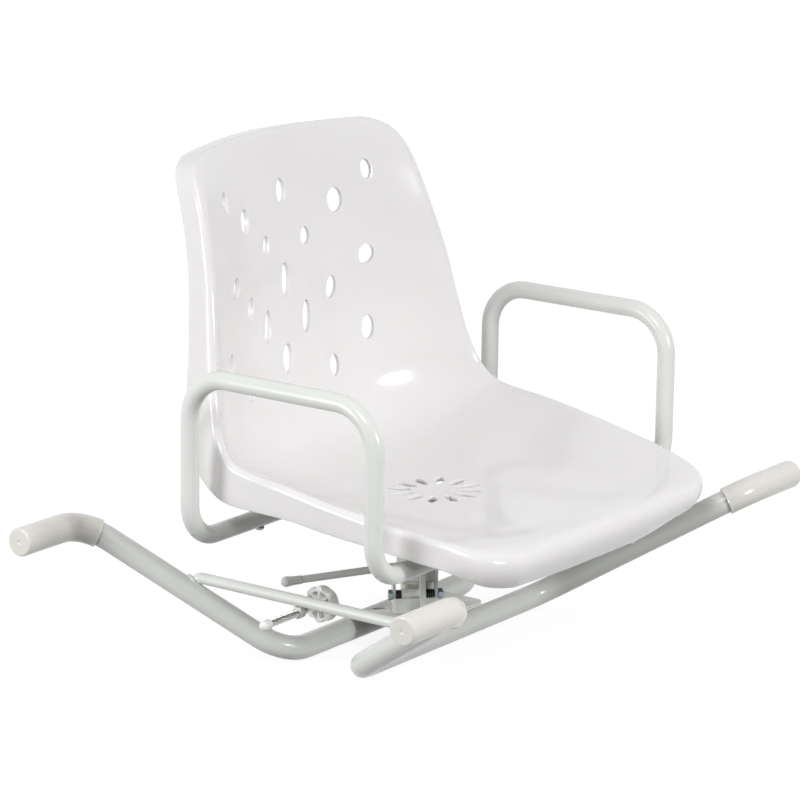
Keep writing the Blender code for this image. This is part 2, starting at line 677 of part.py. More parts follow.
def build_swivel():
    """The fixed post with its cap and king bolt, and the hub and plate that turn on it."""
    axis = add_empty("swivel_axis", (0, 0, 0))

    def line(low, high):
        return straight((0, 0, low), (0, 0, high))

    post = ring_solid(line(BASE_TOP_Z + GAP, POST_TOP), POST_R, POST_R - POST_WALL, BIG_SIDES)
    add_object("swivel_post", post, EPOXY)
    cap_low = POST_TOP + GAP
    cap_top = cap_low + POST_CAP
    add_object("post_cap", ring_solid(line(cap_low, cap_top), POST_R, KING_R + GAP, BIG_SIDES), ZINC)
    bore = HUB_R - HUB_WALL
    add_object("swivel_hub", ring_solid(line(HUB_BOTTOM, HUB_TOP_Z), HUB_R, bore, BIG_SIDES), EPOXY, axis)
    inner = POST_R + GAP
    outer = bore - GAP
    low = HUB_BOTTOM - GAP - BUSH_FLANGE
    lower = line(low, low + BUSH_LENGTH)
    profile = [(0, HUB_R), (BUSH_FLANGE, HUB_R), (BUSH_FLANGE, outer)]
    profile += [(BUSH_LENGTH, outer), (BUSH_LENGTH, inner), (0, inner)]
    add_object("bush_lower", sweep(bmesh.new(), lower, profile, BIG_SIDES, closed=True), NYLON, axis)
    bush_top = POST_TOP - UPPER_BUSH_DROP
    upper = line(bush_top - BUSH_LENGTH, bush_top)
    add_object("bush_upper", ring_solid(upper, outer, inner, BIG_SIDES), NYLON, axis)
    washer = line(cap_top + GAP, HUB_TOP_Z)
    add_object("thrust_washer", ring_solid(washer, POST_R, KING_R + RUNNING, BIG_SIDES), NYLON, axis)

    under_head = TURN_TOP_Z + GAP + KING_WASHER + GAP
    nut_top = cap_low - GAP
    nut_low = nut_top - KING_NUT
    bore = KING_R + GAP
    washer = ring_solid(line(TURN_TOP_Z + GAP, under_head - GAP), KING_WASHER_D / 2, bore, BIG_SIDES)
    add_object("king_washer", washer, ZINC)
    bolt = line(nut_low - KING_END, under_head + KING_HEAD)
    head = bolt.length - KING_HEAD
    profile = [(0, KING_R - KING_CHAMFER), (KING_CHAMFER, KING_R), (head, KING_R)]
    profile += [(head, hexagon(KING_ACROSS)), (bolt.length, hexagon(KING_ACROSS - KING_CHAMFER))]
    add_object("king_bolt", sweep(bmesh.new(), bolt, profile, SMALL_SIDES), ZINC)
    nut = ring_solid(line(nut_low, nut_top), hexagon(KING_ACROSS), bore, SMALL_SIDES)
    add_object("king_nut", nut, ZINC)
    build_turn_plate(axis)
    return axis


def sheet_strip(bm, outline, rows):
    """A folded sheet: an outline of points, each with its own present rows between the given levels."""
    grid = {}
    for i, (point, _) in enumerate(outline):
        for j, level in enumerate(rows):
            grid[i, j] = bm.verts.new(point + UP * level)
    for i in range(len(outline) - 1):
        for j in range(len(rows) - 1):
            if j < outline[i][1]:
                bm.faces.new([grid[i, j], grid[i + 1, j], grid[i + 1, j + 1], grid[i, j + 1]])
    bmesh.ops.delete(bm, geom=[v for v in bm.verts if not v.link_faces], context="VERTS")
    return bm


def thicken(target, wall, offset):
    step = target.modifiers.new("sheet", "SOLIDIFY")
    step.thickness = wall
    step.offset = offset
    step.use_even_offset = True


def build_turn_plate(axis):
    """The turning plate under the seat tubes: a sheet with its long sides folded down."""
    front = ARM_FRONT_Y - ARM_D / 2 - TURN_MARGIN
    rear = ARM_REAR_Y + ARM_D / 2 + TURN_MARGIN
    half = TURN_X / 2
    corner = half - TURN_BEND
    edge = TURN_TOP_Z - TURN_FLANGE
    section = [(-half, edge)] + arc_points((-corner, TURN_TOP_Z - TURN_BEND), TURN_BEND, 180, 90, 3)
    section += [(-x, z) for x, z in reversed(section)]
    bm = bmesh.new()
    rows = [[bm.verts.new((x, y, z)) for x, z in section] for y in (front, rear)]
    for k in range(len(section) - 1):
        bm.faces.new([rows[0][k], rows[0][k + 1], rows[1][k + 1], rows[1][k]])
    plate = add_object("turn_plate", bm, EPOXY, axis)
    facing_up = sum(face.normal.z for face in plate.data.polygons) > 0
    thicken(plate, SHEET, -1 if facing_up else 1)
    hole = straight((0, 0, TURN_LOW_Z - SHEET), (0, 0, TURN_TOP_Z + SHEET))
    cut(plate, rod_solid(hole, KING_R + RUNNING, SMALL_SIDES), "turn_plate_hole")


def lock_point(outward, along, z):
    return OUTWARD * outward + ALONG * along + UP * z


def build_lock_bracket(axis):
    """A folded strip under the turning plate: tall right wall, low front strap and short left wall."""
    inside = BRACKET_BEND
    levels = [BASE_TOP_Z + BRACKET_LIFT, STRAP_TOP_Z, PIVOT_Z + LEFT_WALL_RISE, HUB_TOP_Z]
    right, left, front = -BRACKET_RIGHT, BRACKET_LEFT, BRACKET_FRONT
    plan = [((BRACKET_BACK, right), 3)]
    plan += [((r, t), 1) for t, r in arc_points((right + inside, front - inside), inside, 180, 90, 3)]
    plan[0] = ((BRACKET_BACK, right), 3)
    plan += [((r, t), 1) for t, r in arc_points((left - inside, front - inside), inside, 90, 0, 3)]
    plan[-1] = (plan[-1][0], 2)
    plan += [((BRACKET_BACK, left), 2)]
    outline = [(lock_point(r, t, 0), count) for (r, t), count in plan]
    bracket = add_object("lock_bracket", sheet_strip(bmesh.new(), outline, levels), EPOXY, axis)
    facing = sum(face.normal.dot(OUTWARD) * face.area for face in bracket.data.polygons) > 0
    thicken(bracket, BRACKET_SHEET, -1 if facing else 1)
    line = straight(lock_point(PIVOT_R, 2 * right, PIVOT_Z), lock_point(PIVOT_R, 2 * left, PIVOT_Z))
    cut(bracket, rod_solid(line, PIVOT_D / 2 + GAP, SMALL_SIDES), "lock_bracket_holes")


def build_pivot(axis):
    """The lock's pivot bolt, its nut and the black spacer."""
    radius = PIVOT_D / 2
    left = BRACKET_LEFT + GAP
    right = -BRACKET_RIGHT - GAP

    def line(first, last):
        return straight(lock_point(PIVOT_R, first, PIVOT_Z), lock_point(PIVOT_R, last, PIVOT_Z))

    bolt = line(left + PIVOT_HEAD, right - PIVOT_NUT - PIVOT_END)
    profile = [(0, hexagon(PIVOT_ACROSS - PIVOT_CHAMFER)), (PIVOT_HEAD, hexagon(PIVOT_ACROSS))]
    profile += [(PIVOT_HEAD, radius), (bolt.length, radius)]
    add_object("lock_pivot_bolt", sweep(bmesh.new(), bolt, profile, SMALL_SIDES), ZINC, axis)
    nut = ring_solid(line(right, right - PIVOT_NUT), hexagon(PIVOT_ACROSS), radius + GAP, SMALL_SIDES)
    add_object("lock_pivot_nut", nut, ZINC, axis)
    barrel_end = LATCH_THICKNESS / 2 + BARREL_LENGTH
    spacer_line = line(barrel_end + GAP, BRACKET_LEFT - BRACKET_SHEET - GAP)
    spacer = ring_solid(spacer_line, SPACER_D / 2, radius + GAP, SMALL_SIDES)
    add_object("lock_spacer", spacer, BLACK_PLASTIC, axis)


def latch_outline():
    """The latch's side view from its pivot, as (outward, up): a bar with a lug back to its eye."""
    tooth = BASE_TOP_Z - LATCH_DEPTH - PIVOT_Z
    edge = LATCH_CHAMFER
    strap = STRAP_TOP_Z + 2 * GAP - PIVOT_Z
    pad_z = LEVER_Z - PIVOT_Z
    pad_x = (LATCH_IN + LATCH_OUT) / 2
    pad = (LATCH_OUT - LATCH_IN) / 2
    eye = LATCH_EYE_R
    meet = math.degrees(math.asin(strap / eye))
    points = [(LATCH_IN, tooth + edge), (LATCH_IN + edge, tooth)]
    points += [(LATCH_OUT - edge, tooth), (LATCH_OUT, tooth + edge)]
    points += arc_points((pad_x, pad_z), pad, 0, 180, 6)
    points += [(LATCH_IN, eye + LATCH_CORNER), (LATCH_IN - LATCH_CORNER, eye)]
    points += arc_points((0, 0), eye, 90, 360 + meet, 10)
    return points + [(LATCH_IN, strap)]


def build_latch(swivel):
    """The latch, its lever rod and ball cap, on the pivot; stored turned to the open stop."""
    basis = Matrix((OUTWARD, UP, ALONG)).transposed()
    spin = Matrix.Rotation(LOCK_OPEN, 3, ALONG)
    axis = add_empty("lock_axis", lock_point(PIVOT_R, 0, PIVOT_Z), spin, swivel)
    half = LATCH_THICKNESS / 2
    place = Matrix.Translation(-ALONG * half) @ basis.to_4x4()
    latch = add_object("lock_latch", prism(latch_outline(), LATCH_THICKNESS, place), EPOXY, axis)
    barrel = straight(ALONG * 0, ALONG * (half + BARREL_LENGTH))
    cut(latch, rod_solid(barrel, LATCH_EYE_R, SMALL_SIDES), "lock_latch_barrel", "UNION")
    bore = straight(ALONG * -2 * half, ALONG * (BARREL_LENGTH + 3 * half))
    cut(latch, rod_solid(bore, PIVOT_D / 2 + GAP, SMALL_SIDES), "lock_latch_bore")

    centre = OUTWARD * (LATCH_IN + LATCH_OUT) / 2 + UP * (LEVER_Z - PIVOT_Z)
    ahead = ALONG * math.cos(LEVER_DROOP) - UP * math.sin(LEVER_DROOP)
    radius = LEVER_D / 2
    begin = centre + ahead * (half + GAP + radius * math.sin(LEVER_DROOP))
    rod = straight(begin, begin + ahead * LEVER_LENGTH)
    add_object("lock_lever", rod_solid(rod, radius, SMALL_SIDES), EPOXY, axis)
    cap_r = LEVER_CAP_D / 2
    neck = radius + LEVER_CAP_WALL
    reach = LEVER_CAP_LENGTH
    cap_end = begin + ahead * (LEVER_LENGTH + cap_r + GAP)
    cap = straight(cap_end, cap_end - ahead * reach)
    bore = radius + GAP
    profile = dome(cap_r, 120)
    profile += [(LEVER_NECK, neck), (reach, neck), (reach, bore), (cap_r, bore), (cap_r, 0)]
    add_object("lock_lever_cap", sweep(bmesh.new(), cap, profile, SMALL_SIDES), GRIP_PLASTIC, axis)
    return axis


def spring_points():
    """The torsion spring's centre line: hook, leg, coil round the pivot and tail against the strap."""

    def at(outward, along, up):
        return lock_point(PIVOT_R + outward, along, PIVOT_Z + up)

    first = -LATCH_THICKNESS / 2 - GAP - WIRE_D / 2 - 0.0002
    top = COIL_R - SPRING_LEG_LEAN
    points = [at(top, first + SPRING_HOOK * k, SPRING_LEG_TOP) for k in (1, 0.5)]
    points += [at(top, first + 0.0008, SPRING_LEG_TOP - 0.0002), at(top, first, SPRING_LEG_TOP - 0.0014)]
    points += [at(COIL_R - SPRING_LEG_LEAN * k, first, SPRING_LEG_TOP * k) for k in (0.6, 0.25)]
    for k in range(COIL_TURNS * COIL_POINTS + 1):
        angle = -2 * math.pi * k / COIL_POINTS
        along = first - COIL_PITCH * k / COIL_POINTS
        points.append(at(COIL_R * math.cos(angle), along, COIL_R * math.sin(angle)))
    tail = COIL_R - SPRING_TAIL_IN
    last = first - COIL_PITCH * COIL_TURNS
    return points + [at(tail, last, -SPRING_TAIL * share) for share in (0.35, 1)]


def least_gap(points, wire):
    """The least gap of a wire to itself, between points more than half a turn apart."""
    least = math.inf
    for i, point in enumerate(points):
        for other in points[i + COIL_POINTS // 2 :]:
            least = min(least, (point - other).length - wire)
    return least


def build_spring(axis):
    points = spring_points()
    print(f"lock_spring: least gap to itself {least_gap(points, WIRE_D) * 1000:.2f} mm")
    curve = bpy.data.curves.new("lock_spring", "CURVE")
    curve.dimensions = "3D"
    curve.bevel_depth = WIRE_D / 2
    curve.bevel_resolution = 1
    curve.use_fill_caps = True
    curve.materials.append(material(SPRING_STEEL))
    spline = curve.splines.new("POLY")
    spline.points.add(len(points) - 1)
    for spot, point in zip(spline.points, points):
        spot.co = (*point, 1)
    made = bpy.data.objects.new("lock_spring", curve)
    bpy.context.scene.collection.objects.link(made)
    made.parent = axis


def arm_path(side):
    """One armrest's centre line, from the seat's middle at the rear to its middle at the front."""
    x = side * ARM_X
    middle = side * GAP / 2
    corners = [(middle, ARM_REAR_Y, ARM_LOW_Z), (x, ARM_REAR_Y, ARM_LOW_Z), (x, ARM_REAR_Y, ARM_TOP_Z)]
    corners += [(x, ARM_FRONT_Y, ARM_TOP_Z), (x, ARM_FRONT_Y, ARM_LOW_Z), (middle, ARM_FRONT_Y, ARM_LOW_Z)]
    return BentPath(corners, [ARM_LOW_BEND, ARM_TOP_BEND, ARM_TOP_BEND, ARM_LOW_BEND])


def seat_screw_places():
    return [
        (f"{front_rear}_{right_left}", side * SEAT_SCREW_X, y)
        for front_rear, y in (("front", ARM_FRONT_Y), ("rear", ARM_REAR_Y))
        for right_left, side in (("right", -1), ("left", 1))
    ]


def build_armrest(name, side, axis):
    """A bent tube with a drain hole in each low bend and holes for the seat screws."""
    arm = add_object(name, tube(arm_path(side), ARM_D / 2, ARM_WALL, TUBE_SIDES, ARM_STEPS), EPOXY, axis)
    cutters = bmesh.new()
    slant = Vector((side, 0, -1)).normalized()
    for y in (ARM_REAR_Y, ARM_FRONT_Y):
        centre = Vector((side * (ARM_X - ARM_LOW_BEND), y, ARM_LOW_Z + ARM_LOW_BEND)) + slant * ARM_LOW_BEND
        line = straight(centre + slant * ARM_D / 4, centre + slant * ARM_D)
        rod_solid(line, ARM_DRAIN_R, HOLE_SIDES, cutters)
    hole = SEAT_SCREW_D / 2 + GAP
    for _, x, y in seat_screw_places():
        if x * side > 0:
            line = straight((x, y, ARM_LOW_Z - ARM_D), (x, y, ARM_LOW_Z + ARM_D))
            rod_solid(line, hole, HOLE_SIDES, cutters)
    cut(arm, cutters, f"{name}_holes")


def build_seat_screws(axis):
    head_top = ARM_LOW_Z - ARM_D / 2 - GAP
    for place, x, y in seat_screw_places():
        line = straight((x, y, head_top - SEAT_SCREW_HEAD), (x, y, ARM_LOW_Z + ARM_D / 2 + SEAT_SCREW_BITE))
        head = SEAT_SCREW_HEAD
        radius = SEAT_SCREW_D / 2
        head_r = SEAT_SCREW_HEAD_D / 2
        profile = [(0, 0.7 * head_r), (head / 2, head_r), (head, head_r), (head, radius)]
        profile += [(line.length - radius, radius), (line.length, radius / 2)]
        add_object(f"seat_screw_{place}", sweep(bmesh.new(), line, profile, HOLE_SIDES), ZINC, axis)


def smooth_between(rows, share):
    """A point of a Catmull-Rom curve through number tuples, share from 0 to 1 by row."""
    place = share * (len(rows) - 1)
    k = min(int(place), len(rows) - 2)
    t = place - k
    a, b, c, d = (rows[min(max(k + j, 0), len(rows) - 1)] for j in (-1, 0, 1, 2))
    return tuple(
        0.5 * (2 * q + (r - p) * t + (2 * p - 5 * q + 4 * r - s) * t * t + (3 * q - p - 3 * r + s) * t**3)
        for p, q, r, s in zip(a, b, c, d)
    )


def fade(low, high, value):
    """0 below low, 1 above high and a smooth step between."""
    t = min(max((value - low) / (high - low), 0), 1)
    return t * t * (3 - 2 * t)


def shell_point(across, along):
    """A point of the seat's upper surface; across runs from -1 to 1, along from 0 to 1."""
    centre_y, centre_z, width, rim_y, rim_z = smooth_between([(*c, *r) for c, r in SHELL_ROWS], along)
    curve = PAN_CURVE + (BACK_CURVE - PAN_CURVE) * fade(0.14, 0.215, centre_z)
    rise = abs(across) ** curve
    y = centre_y + (rim_y - centre_y) * rise
    z = SEAT_LEVEL + centre_z + (rim_z - centre_z) * rise
    front = SHELL_ROWS[0][0][0]
    hollow = (1 - fade(-0.09, THIGH_BACK_Y, y)) * fade(front, front + 0.06, y)
    z -= THIGH_DIP * hollow * math.exp(-(((abs(across) - THIGH_SHARE) / THIGH_SPREAD) ** 2))
    return Vector((width * across, y, z))


def shell_down(along):
    """The direction in which the skirt hangs, square to the seat's centre line, away from the sitter."""
    step = 0.01
    before = shell_point(0, max(along - step, 0))
    after = shell_point(0, min(along + step, 1))
    ahead = after - before
    return Vector((0, ahead.z, -ahead.y)).normalized()


def skirt_sizes(point, along):
    """The rolled edge's radius and the skirt's depth at a place on the rim."""
    front = SHELL_ROWS[0][0][0]
    side = fade(front, front + 0.05, point.y)
    radius = SKIRT_FRONT_R + (SKIRT_SIDE_R - SKIRT_FRONT_R) * side
    depth = SKIRT_FRONT + (SKIRT_THIGH - SKIRT_FRONT) * side
    depth += (SKIRT_HIP - SKIRT_THIGH) * fade(-0.12, -0.02, point.y)
    depth += (SKIRT_BACK - SKIRT_HIP) * fade(0.08, 0.18, point.z - SEAT_LEVEL)
    return radius, depth


def shell_surface():
    """The seat's upper surface as a grid, with a rolled skirt all round its rim."""
    bm = bmesh.new()
    grid = {}
    for j in range(SHELL_ALONG + 1):
        for i in range(SHELL_ACROSS + 1):
            grid[i, j] = bm.verts.new(shell_point(2 * i / SHELL_ACROSS - 1, j / SHELL_ALONG))
    for j in range(SHELL_ALONG):
        for i in range(SHELL_ACROSS):
            bm.faces.new([grid[i, j], grid[i + 1, j], grid[i + 1, j + 1], grid[i, j + 1]])
    last_i, last_j = SHELL_ACROSS, SHELL_ALONG
    rim = [(i, 0) for i in range(last_i)] + [(last_i, j) for j in range(last_j)]
    rim += [(i, last_j) for i in range(last_i, 0, -1)] + [(0, j) for j in range(last_j, 0, -1)]
    rings = [[grid[spot] for spot in rim]]
    for k in (1, 2, 3):
        angle = math.radians(min(45 * k, 90))
        ring = []
        for n, (i, j) in enumerate(rim):
            here = grid[i, j].co
            before = grid[rim[n - 1]].co
            after = grid[rim[(n + 1) % len(rim)]].co
            down = shell_down(j / last_j)
            out = down.cross(after - before).normalized()
            radius, depth = skirt_sizes(here, j / last_j)
            drop = radius * (1 - math.cos(angle)) if k < 3 else depth
            ring.append(bm.verts.new(here + out * radius * math.sin(angle) + down * drop))
        rings.append(ring)
    for upper, lower in zip(rings, rings[1:]):
        for n in range(len(rim)):
            m = (n + 1) % len(rim)
            bm.faces.new([upper[m], upper[n], lower[n], lower[m]])
    return bm


def surface_at(x, y):
    """Height of the seat's upper surface over a place on the pan, by halving."""
    low, high = 0.0, 0.55
    for _ in range(40):
        along = (low + high) / 2
        width = smooth_between([(*c, *r) for c, r in SHELL_ROWS], along)[2]
        if shell_point(x / width, along).y < y:
            low = along
        else:
            high = along
    return shell_point(x / width, low).z


def shell_bosses():
    """Round bosses from the pan's underside down to the seat tubes."""
    bm = bmesh.new()
    for _, x, y in seat_screw_places():
        top = surface_at(x, y) - SHELL_WALL / 2
        line = straight((x, y, ARM_LOW_Z + ARM_D / 2 + GAP), (x, y, top))
        rod_solid(line, BOSS_D / 2, SMALL_SIDES, bm)
    return bm


def shell_cutters():
    """Slots through the back, the drain rosette's petals and the screw holes in the bosses."""
    bm = bmesh.new()
    back_depth = 0.10
    back_y = SHELL_ROWS[-1][0][0] + 0.02
    backwards = Matrix.Rotation(math.radians(90), 4, "X")
    for x, z, width, length in BACK_SLOTS:
        for side in (1,) if x == 0 else (-1, 1):
            place = Matrix.Translation((side * x, back_y, SEAT_LEVEL + z)) @ backwards
            prism(oval(width, length, SLOT_SIDES), back_depth, place, bm)
    length = ROSETTE_OUTER_R - ROSETTE_INNER_R
    middle = (ROSETTE_OUTER_R + ROSETTE_INNER_R) / 2
    level = surface_at(0, ROSETTE_Y)
    for k in range(ROSETTE_PETALS):
        turn = Matrix.Rotation(2 * math.pi * k / ROSETTE_PETALS, 4, "Z")
        place = Matrix.Translation((0, ROSETTE_Y, level - 0.02)) @ turn @ Matrix.Translation((middle, 0, 0))
        prism(oval(length, PETAL_W, PETAL_SIDES), 0.05, place, bm)
    return bm


def screw_cutters():
    bm = bmesh.new()
    hole = SEAT_SCREW_D / 2 + GAP
    for _, x, y in seat_screw_places():
        line = straight((x, y, ARM_LOW_Z), (x, y, ARM_LOW_Z + ARM_D / 2 + SEAT_SCREW_BITE + GAP))
        rod_solid(line, hole, HOLE_SIDES, bm)
    return bm


def build_shell(axis):
    """The one-piece moulded seat: a curved surface given its wall, then its bosses and openings."""
    shell = add_object("seat_shell", shell_surface(), SEAT_PLASTIC, axis, smooth=50)
    middle = min(shell.data.polygons, key=lambda face: (face.center - shell_point(0, 0.3)).length)
    thicken(shell, SHELL_WALL, -1 if middle.normal.z > 0 else 1)
    cut(shell, shell_bosses(), "seat_shell_bosses", "UNION")
    cut(shell, shell_cutters(), "seat_shell_slots")
    cut(shell, screw_cutters(), "seat_shell_screw_holes")


def main():
    clear_scene()
    build_rails()
    build_grips()
    for name, side in (("right", -1), ("left", 1)):
        build_cross_rod(f"cross_rod_{name}", side)
        build_clamp(name, side)
    build_base_plate()
    swivel = build_swivel()
    build_lock_bracket(swivel)
    build_pivot(swivel)
    build_latch(swivel)
    build_spring(swivel)
    for name, side in (("right", -1), ("left", 1)):
        build_armrest(f"armrest_tube_{name}", side, swivel)
    build_seat_screws(swivel)
    build_shell(swivel)


main()
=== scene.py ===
from math import asin, cos, degrees, exp, hypot, pi, radians, sin, sqrt, tan

import bmesh
import bpy
from mathutils import Matrix, Vector


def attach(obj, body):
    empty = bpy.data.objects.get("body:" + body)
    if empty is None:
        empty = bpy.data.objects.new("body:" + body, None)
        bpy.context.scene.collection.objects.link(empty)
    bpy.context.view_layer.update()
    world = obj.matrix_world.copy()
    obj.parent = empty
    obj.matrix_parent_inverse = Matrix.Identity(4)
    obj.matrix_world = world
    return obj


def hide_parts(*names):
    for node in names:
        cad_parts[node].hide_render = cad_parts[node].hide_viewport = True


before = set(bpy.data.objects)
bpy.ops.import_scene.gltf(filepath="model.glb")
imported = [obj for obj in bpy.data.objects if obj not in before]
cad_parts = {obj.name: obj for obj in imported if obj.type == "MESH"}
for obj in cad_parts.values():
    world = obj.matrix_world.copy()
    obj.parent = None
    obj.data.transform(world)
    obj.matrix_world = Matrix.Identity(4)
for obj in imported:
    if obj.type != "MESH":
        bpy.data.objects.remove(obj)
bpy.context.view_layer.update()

# Sizes, in metres --------------------------------------------------------------------------------
#
# They are the CAD part's, but for the grips' ends and mouths and the shell's front rows, skirt and edges,
# which follow the photograph more closely.

GAP = 0.0003  # between pieces that touch
UP = Vector((0, 0, 1))
SIDES = (("right", -1), ("left", 1))
ENDS = (("front", -1), ("rear", 1))

# Rails and their grips
RAIL_R = 0.0127
RAIL_BEND = 0.050
END_X = 0.360
RIM_X, RIM_Y, RIM_Z = 0.262, 0.2387, 0.1396
FOOT_X, FOOT_Y = 0.1694, 0.0433
GRIP_WALL = 0.0019
GRIP_EDGE, GRIP_DIMPLE = 0.0024, 0.0024
GRIP_BEND_SHARE = 0.75
GRIP_FLARE = 0.0005

# Cross rods and clamps
ROD_R, ROD_BEND, ROD_WELD_R = 0.006, 0.009, 0.0021
ROD_TURN_Y = 0.134
ROD_SHARE = (ROD_TURN_Y - FOOT_Y) / (RIM_Y - FOOT_Y)
ROD_END_X = FOOT_X + (RIM_X - FOOT_X) * ROD_SHARE
ROD_END_Z = RAIL_R + (RIM_Z - RAIL_R) * ROD_SHARE
ROD_X = ROD_END_X - 0.0074
ROD_Z = ROD_END_Z + 0.0149
NUT_D = 0.012
NUT_LENGTH = 0.009
CLAMP_Z = ROD_Z - ROD_R - GAP - NUT_D / 2
SCREW_R, THREAD_DEPTH, THREAD_PITCH = 0.004, 0.0004, 0.00125
TIP_OUT_X = ROD_X + 0.063
TIP_D, TIP_LENGTH, TIP_SOCKET = 0.0105, 0.014, 0.008
KNOB_FACE_X = ROD_X - 0.0325
KNOB_D, KNOB_THICKNESS, KNOB_LOBES = 0.0385, 0.014, 8
KNOB_HUB_D, KNOB_HUB_LENGTH, KNOB_BORE = 0.013, 0.009, 0.018
KNOB_RIB, KNOB_POCKET = 0.0022, 0.006
KNOB_SCALLOP_R, KNOB_SCALLOP = 0.0078, 0.0028

# Base plate and swivel
PLATE_LOW_Z, PLATE_TOP_Z = 0.0257, 0.0297
PLATE_X, PLATE_Y = 0.130, 2 * (FOOT_Y - 0.0018)
PLATE_CORNER, PLATE_DRAIN_R, INDEX_SLOT_W = 0.008, 0.007, 0.0068
POST_R, POST_WALL, POST_WELD_R = 0.0175, 0.0025, 0.0016
HUB_R, HUB_WALL = 0.02225, 0.003
HUB_LOW_Z = PLATE_TOP_Z + 0.0343
ARM_D = 0.01905
ARM_X, ARM_FRONT_Y, ARM_REAR_Y = 0.2645, -0.1355, 0.094
ARM_TOP_Z, ARM_LOW_Z = 0.3195, 0.1448
ARM_TOP_BEND, ARM_LOW_BEND = 0.046, 0.040
SHEET = 0.004
TURN_TOP_Z = ARM_LOW_Z - ARM_D / 2 - GAP
HUB_TOP_Z = TURN_TOP_Z - SHEET - GAP
POST_TOP_Z = HUB_TOP_Z - 0.0116
TURN_X, TURN_MARGIN, TURN_FLANGE, TURN_BEND = 0.100, 0.012, 0.018, 0.006
BUSH_FLANGE, BUSH_LENGTH = 0.0027, 0.017
KING_R, KING_HEX, KING_HEAD, KING_DEEP = 0.005, 0.017, 0.0064, 0.010
KING_WASHER_R, KING_WASHER = 0.015, 0.002
ARM_DRAIN_R, TURN_HOLE_R, SEAM_R = 0.0018, 0.0056, 0.0013

# Lock, drawn engaged and then turned to its open stop, as it is stored
LOCK_ANGLE = radians(225)
LOCK_OPEN = radians(15)
OUTWARD = Vector((cos(LOCK_ANGLE), sin(LOCK_ANGLE), 0))
ALONG = OUTWARD.cross(UP)
PIVOT_R = POST_R + 0.0075
PIVOT_Z = PLATE_TOP_Z + 0.0223
PIVOT = Matrix.Translation(OUTWARD * PIVOT_R + UP * PIVOT_Z)
LOCK_AXES = Matrix((OUTWARD, UP, ALONG)).transposed().to_4x4()  # X outward, Y up, Z along the pivot
BRACKET_SHEET, BRACKET_BEND = 0.003, 0.004
BRACKET_LEFT, BRACKET_RIGHT = 0.0303, 0.0174
BRACKET_FRONT = PIVOT_R + 0.008
BRACKET_BACK = sqrt((HUB_R + GAP) ** 2 - (BRACKET_RIGHT - BRACKET_SHEET) ** 2)
BRACKET_LOW_Z = PLATE_TOP_Z + 0.0043
STRAP_TOP_Z = PIVOT_Z - 0.0025
LEFT_WALL_Z = PIVOT_Z + 0.012
LATCH_IN = 0.0086
LATCH_OUT = LATCH_IN + 0.0064
LATCH_THICKNESS, LATCH_DEPTH, LATCH_EYE_R = 0.006, 0.0027, 0.0052
BARREL_LENGTH = 0.018
PIN_R, PIN_HEX, PIN_NUT = 0.003, 0.010, 0.005
LEVER_Z = PIVOT_Z + 0.033
LEVER_R, LEVER_LENGTH, LEVER_DROOP = 0.004, 0.140, radians(6)
LEVER_BALL_D, LEVER_CAP_LENGTH = 0.0115, 0.022
WIRE_D, COIL_R, COIL_TURNS, COIL_PITCH = 0.0016, 0.0044, 4, 0.0022
COIL_TAIL = (-0.0006, -0.0030, 0), (-0.0010, -0.0055, 0)
HOOK_LEAN, HOOK_BEND, HOOK_KNEE, HOOK_REACH, HOOK_RISE = 0.0015, 0.0016, 0.004, 0.014, 0.0075

# Seat shell: rows from front to top, each with its centre (y, height) and its rim (half width, y, height);
# heights are from the pan's lowest place
SHELL_ROWS = [
    (-0.2270, 0.0106, 0.1600, -0.2255, 0.0109),
    (-0.2115, 0.0095, 0.1935, -0.2115, 0.0152),
    (-0.1817, 0.0071, 0.2120, -0.1810, 0.0219),
    (-0.1305, 0.0041, 0.2235, -0.1284, 0.0307),
    (-0.0639, 0.0016, 0.2305, -0.0616, 0.0420),
    (-0.0027, 0.0000, 0.2318, -0.0053, 0.0517),
    (0.0584, 0.0005, 0.2307, 0.0386, 0.0574),
    (0.1042, 0.0061, 0.2300, 0.0631, 0.0629),
    (0.1399, 0.0224, 0.2276, 0.0774, 0.0747),
    (0.1604, 0.0499, 0.2218, 0.0877, 0.0946),
    (0.1699, 0.0827, 0.2160, 0.0950, 0.1185),
    (0.1739, 0.1276, 0.2087, 0.1024, 0.1565),
    (0.1766, 0.1876, 0.2004, 0.1114, 0.2036),
    (0.1802, 0.2400, 0.1918, 0.1205, 0.2410),
    (0.1843, 0.2870, 0.1822, 0.1350, 0.2880),
    (0.1890, 0.3225, 0.1745, 0.1490, 0.3210),
    (0.1932, 0.3405, 0.1645, 0.1620, 0.3380),
    (0.1955, 0.3515, 0.1425, 0.1745, 0.3470),
]
SHELL_WALL = 0.004
SEAT_LEVEL = ARM_LOW_Z + ARM_D / 2 + GAP + 0.003 + SHELL_WALL
PAN_CURVE, BACK_CURVE = 2.4, 1.75
THIGH_DIP, THIGH_SHARE, THIGH_SPREAD, THIGH_BACK_Y = 0.004, 0.45, 0.20, 0.020
SKIRT_SIDE_R, SKIRT_FRONT_R = 0.007, 0.016
SKIRT_FRONT, SKIRT_THIGH, SKIRT_HIP, SKIRT_BACK = 0.0425, 0.028, 0.032, 0.029
SKIRT_HIP_DROP, SKIRT_CURL, SKIRT_LIFT = 0.0115, 0.012, 0.0085
SLOT_EDGE, PETAL_EDGE, SLOT_COLLAR = 0.0008, 0.0015, 0.0012
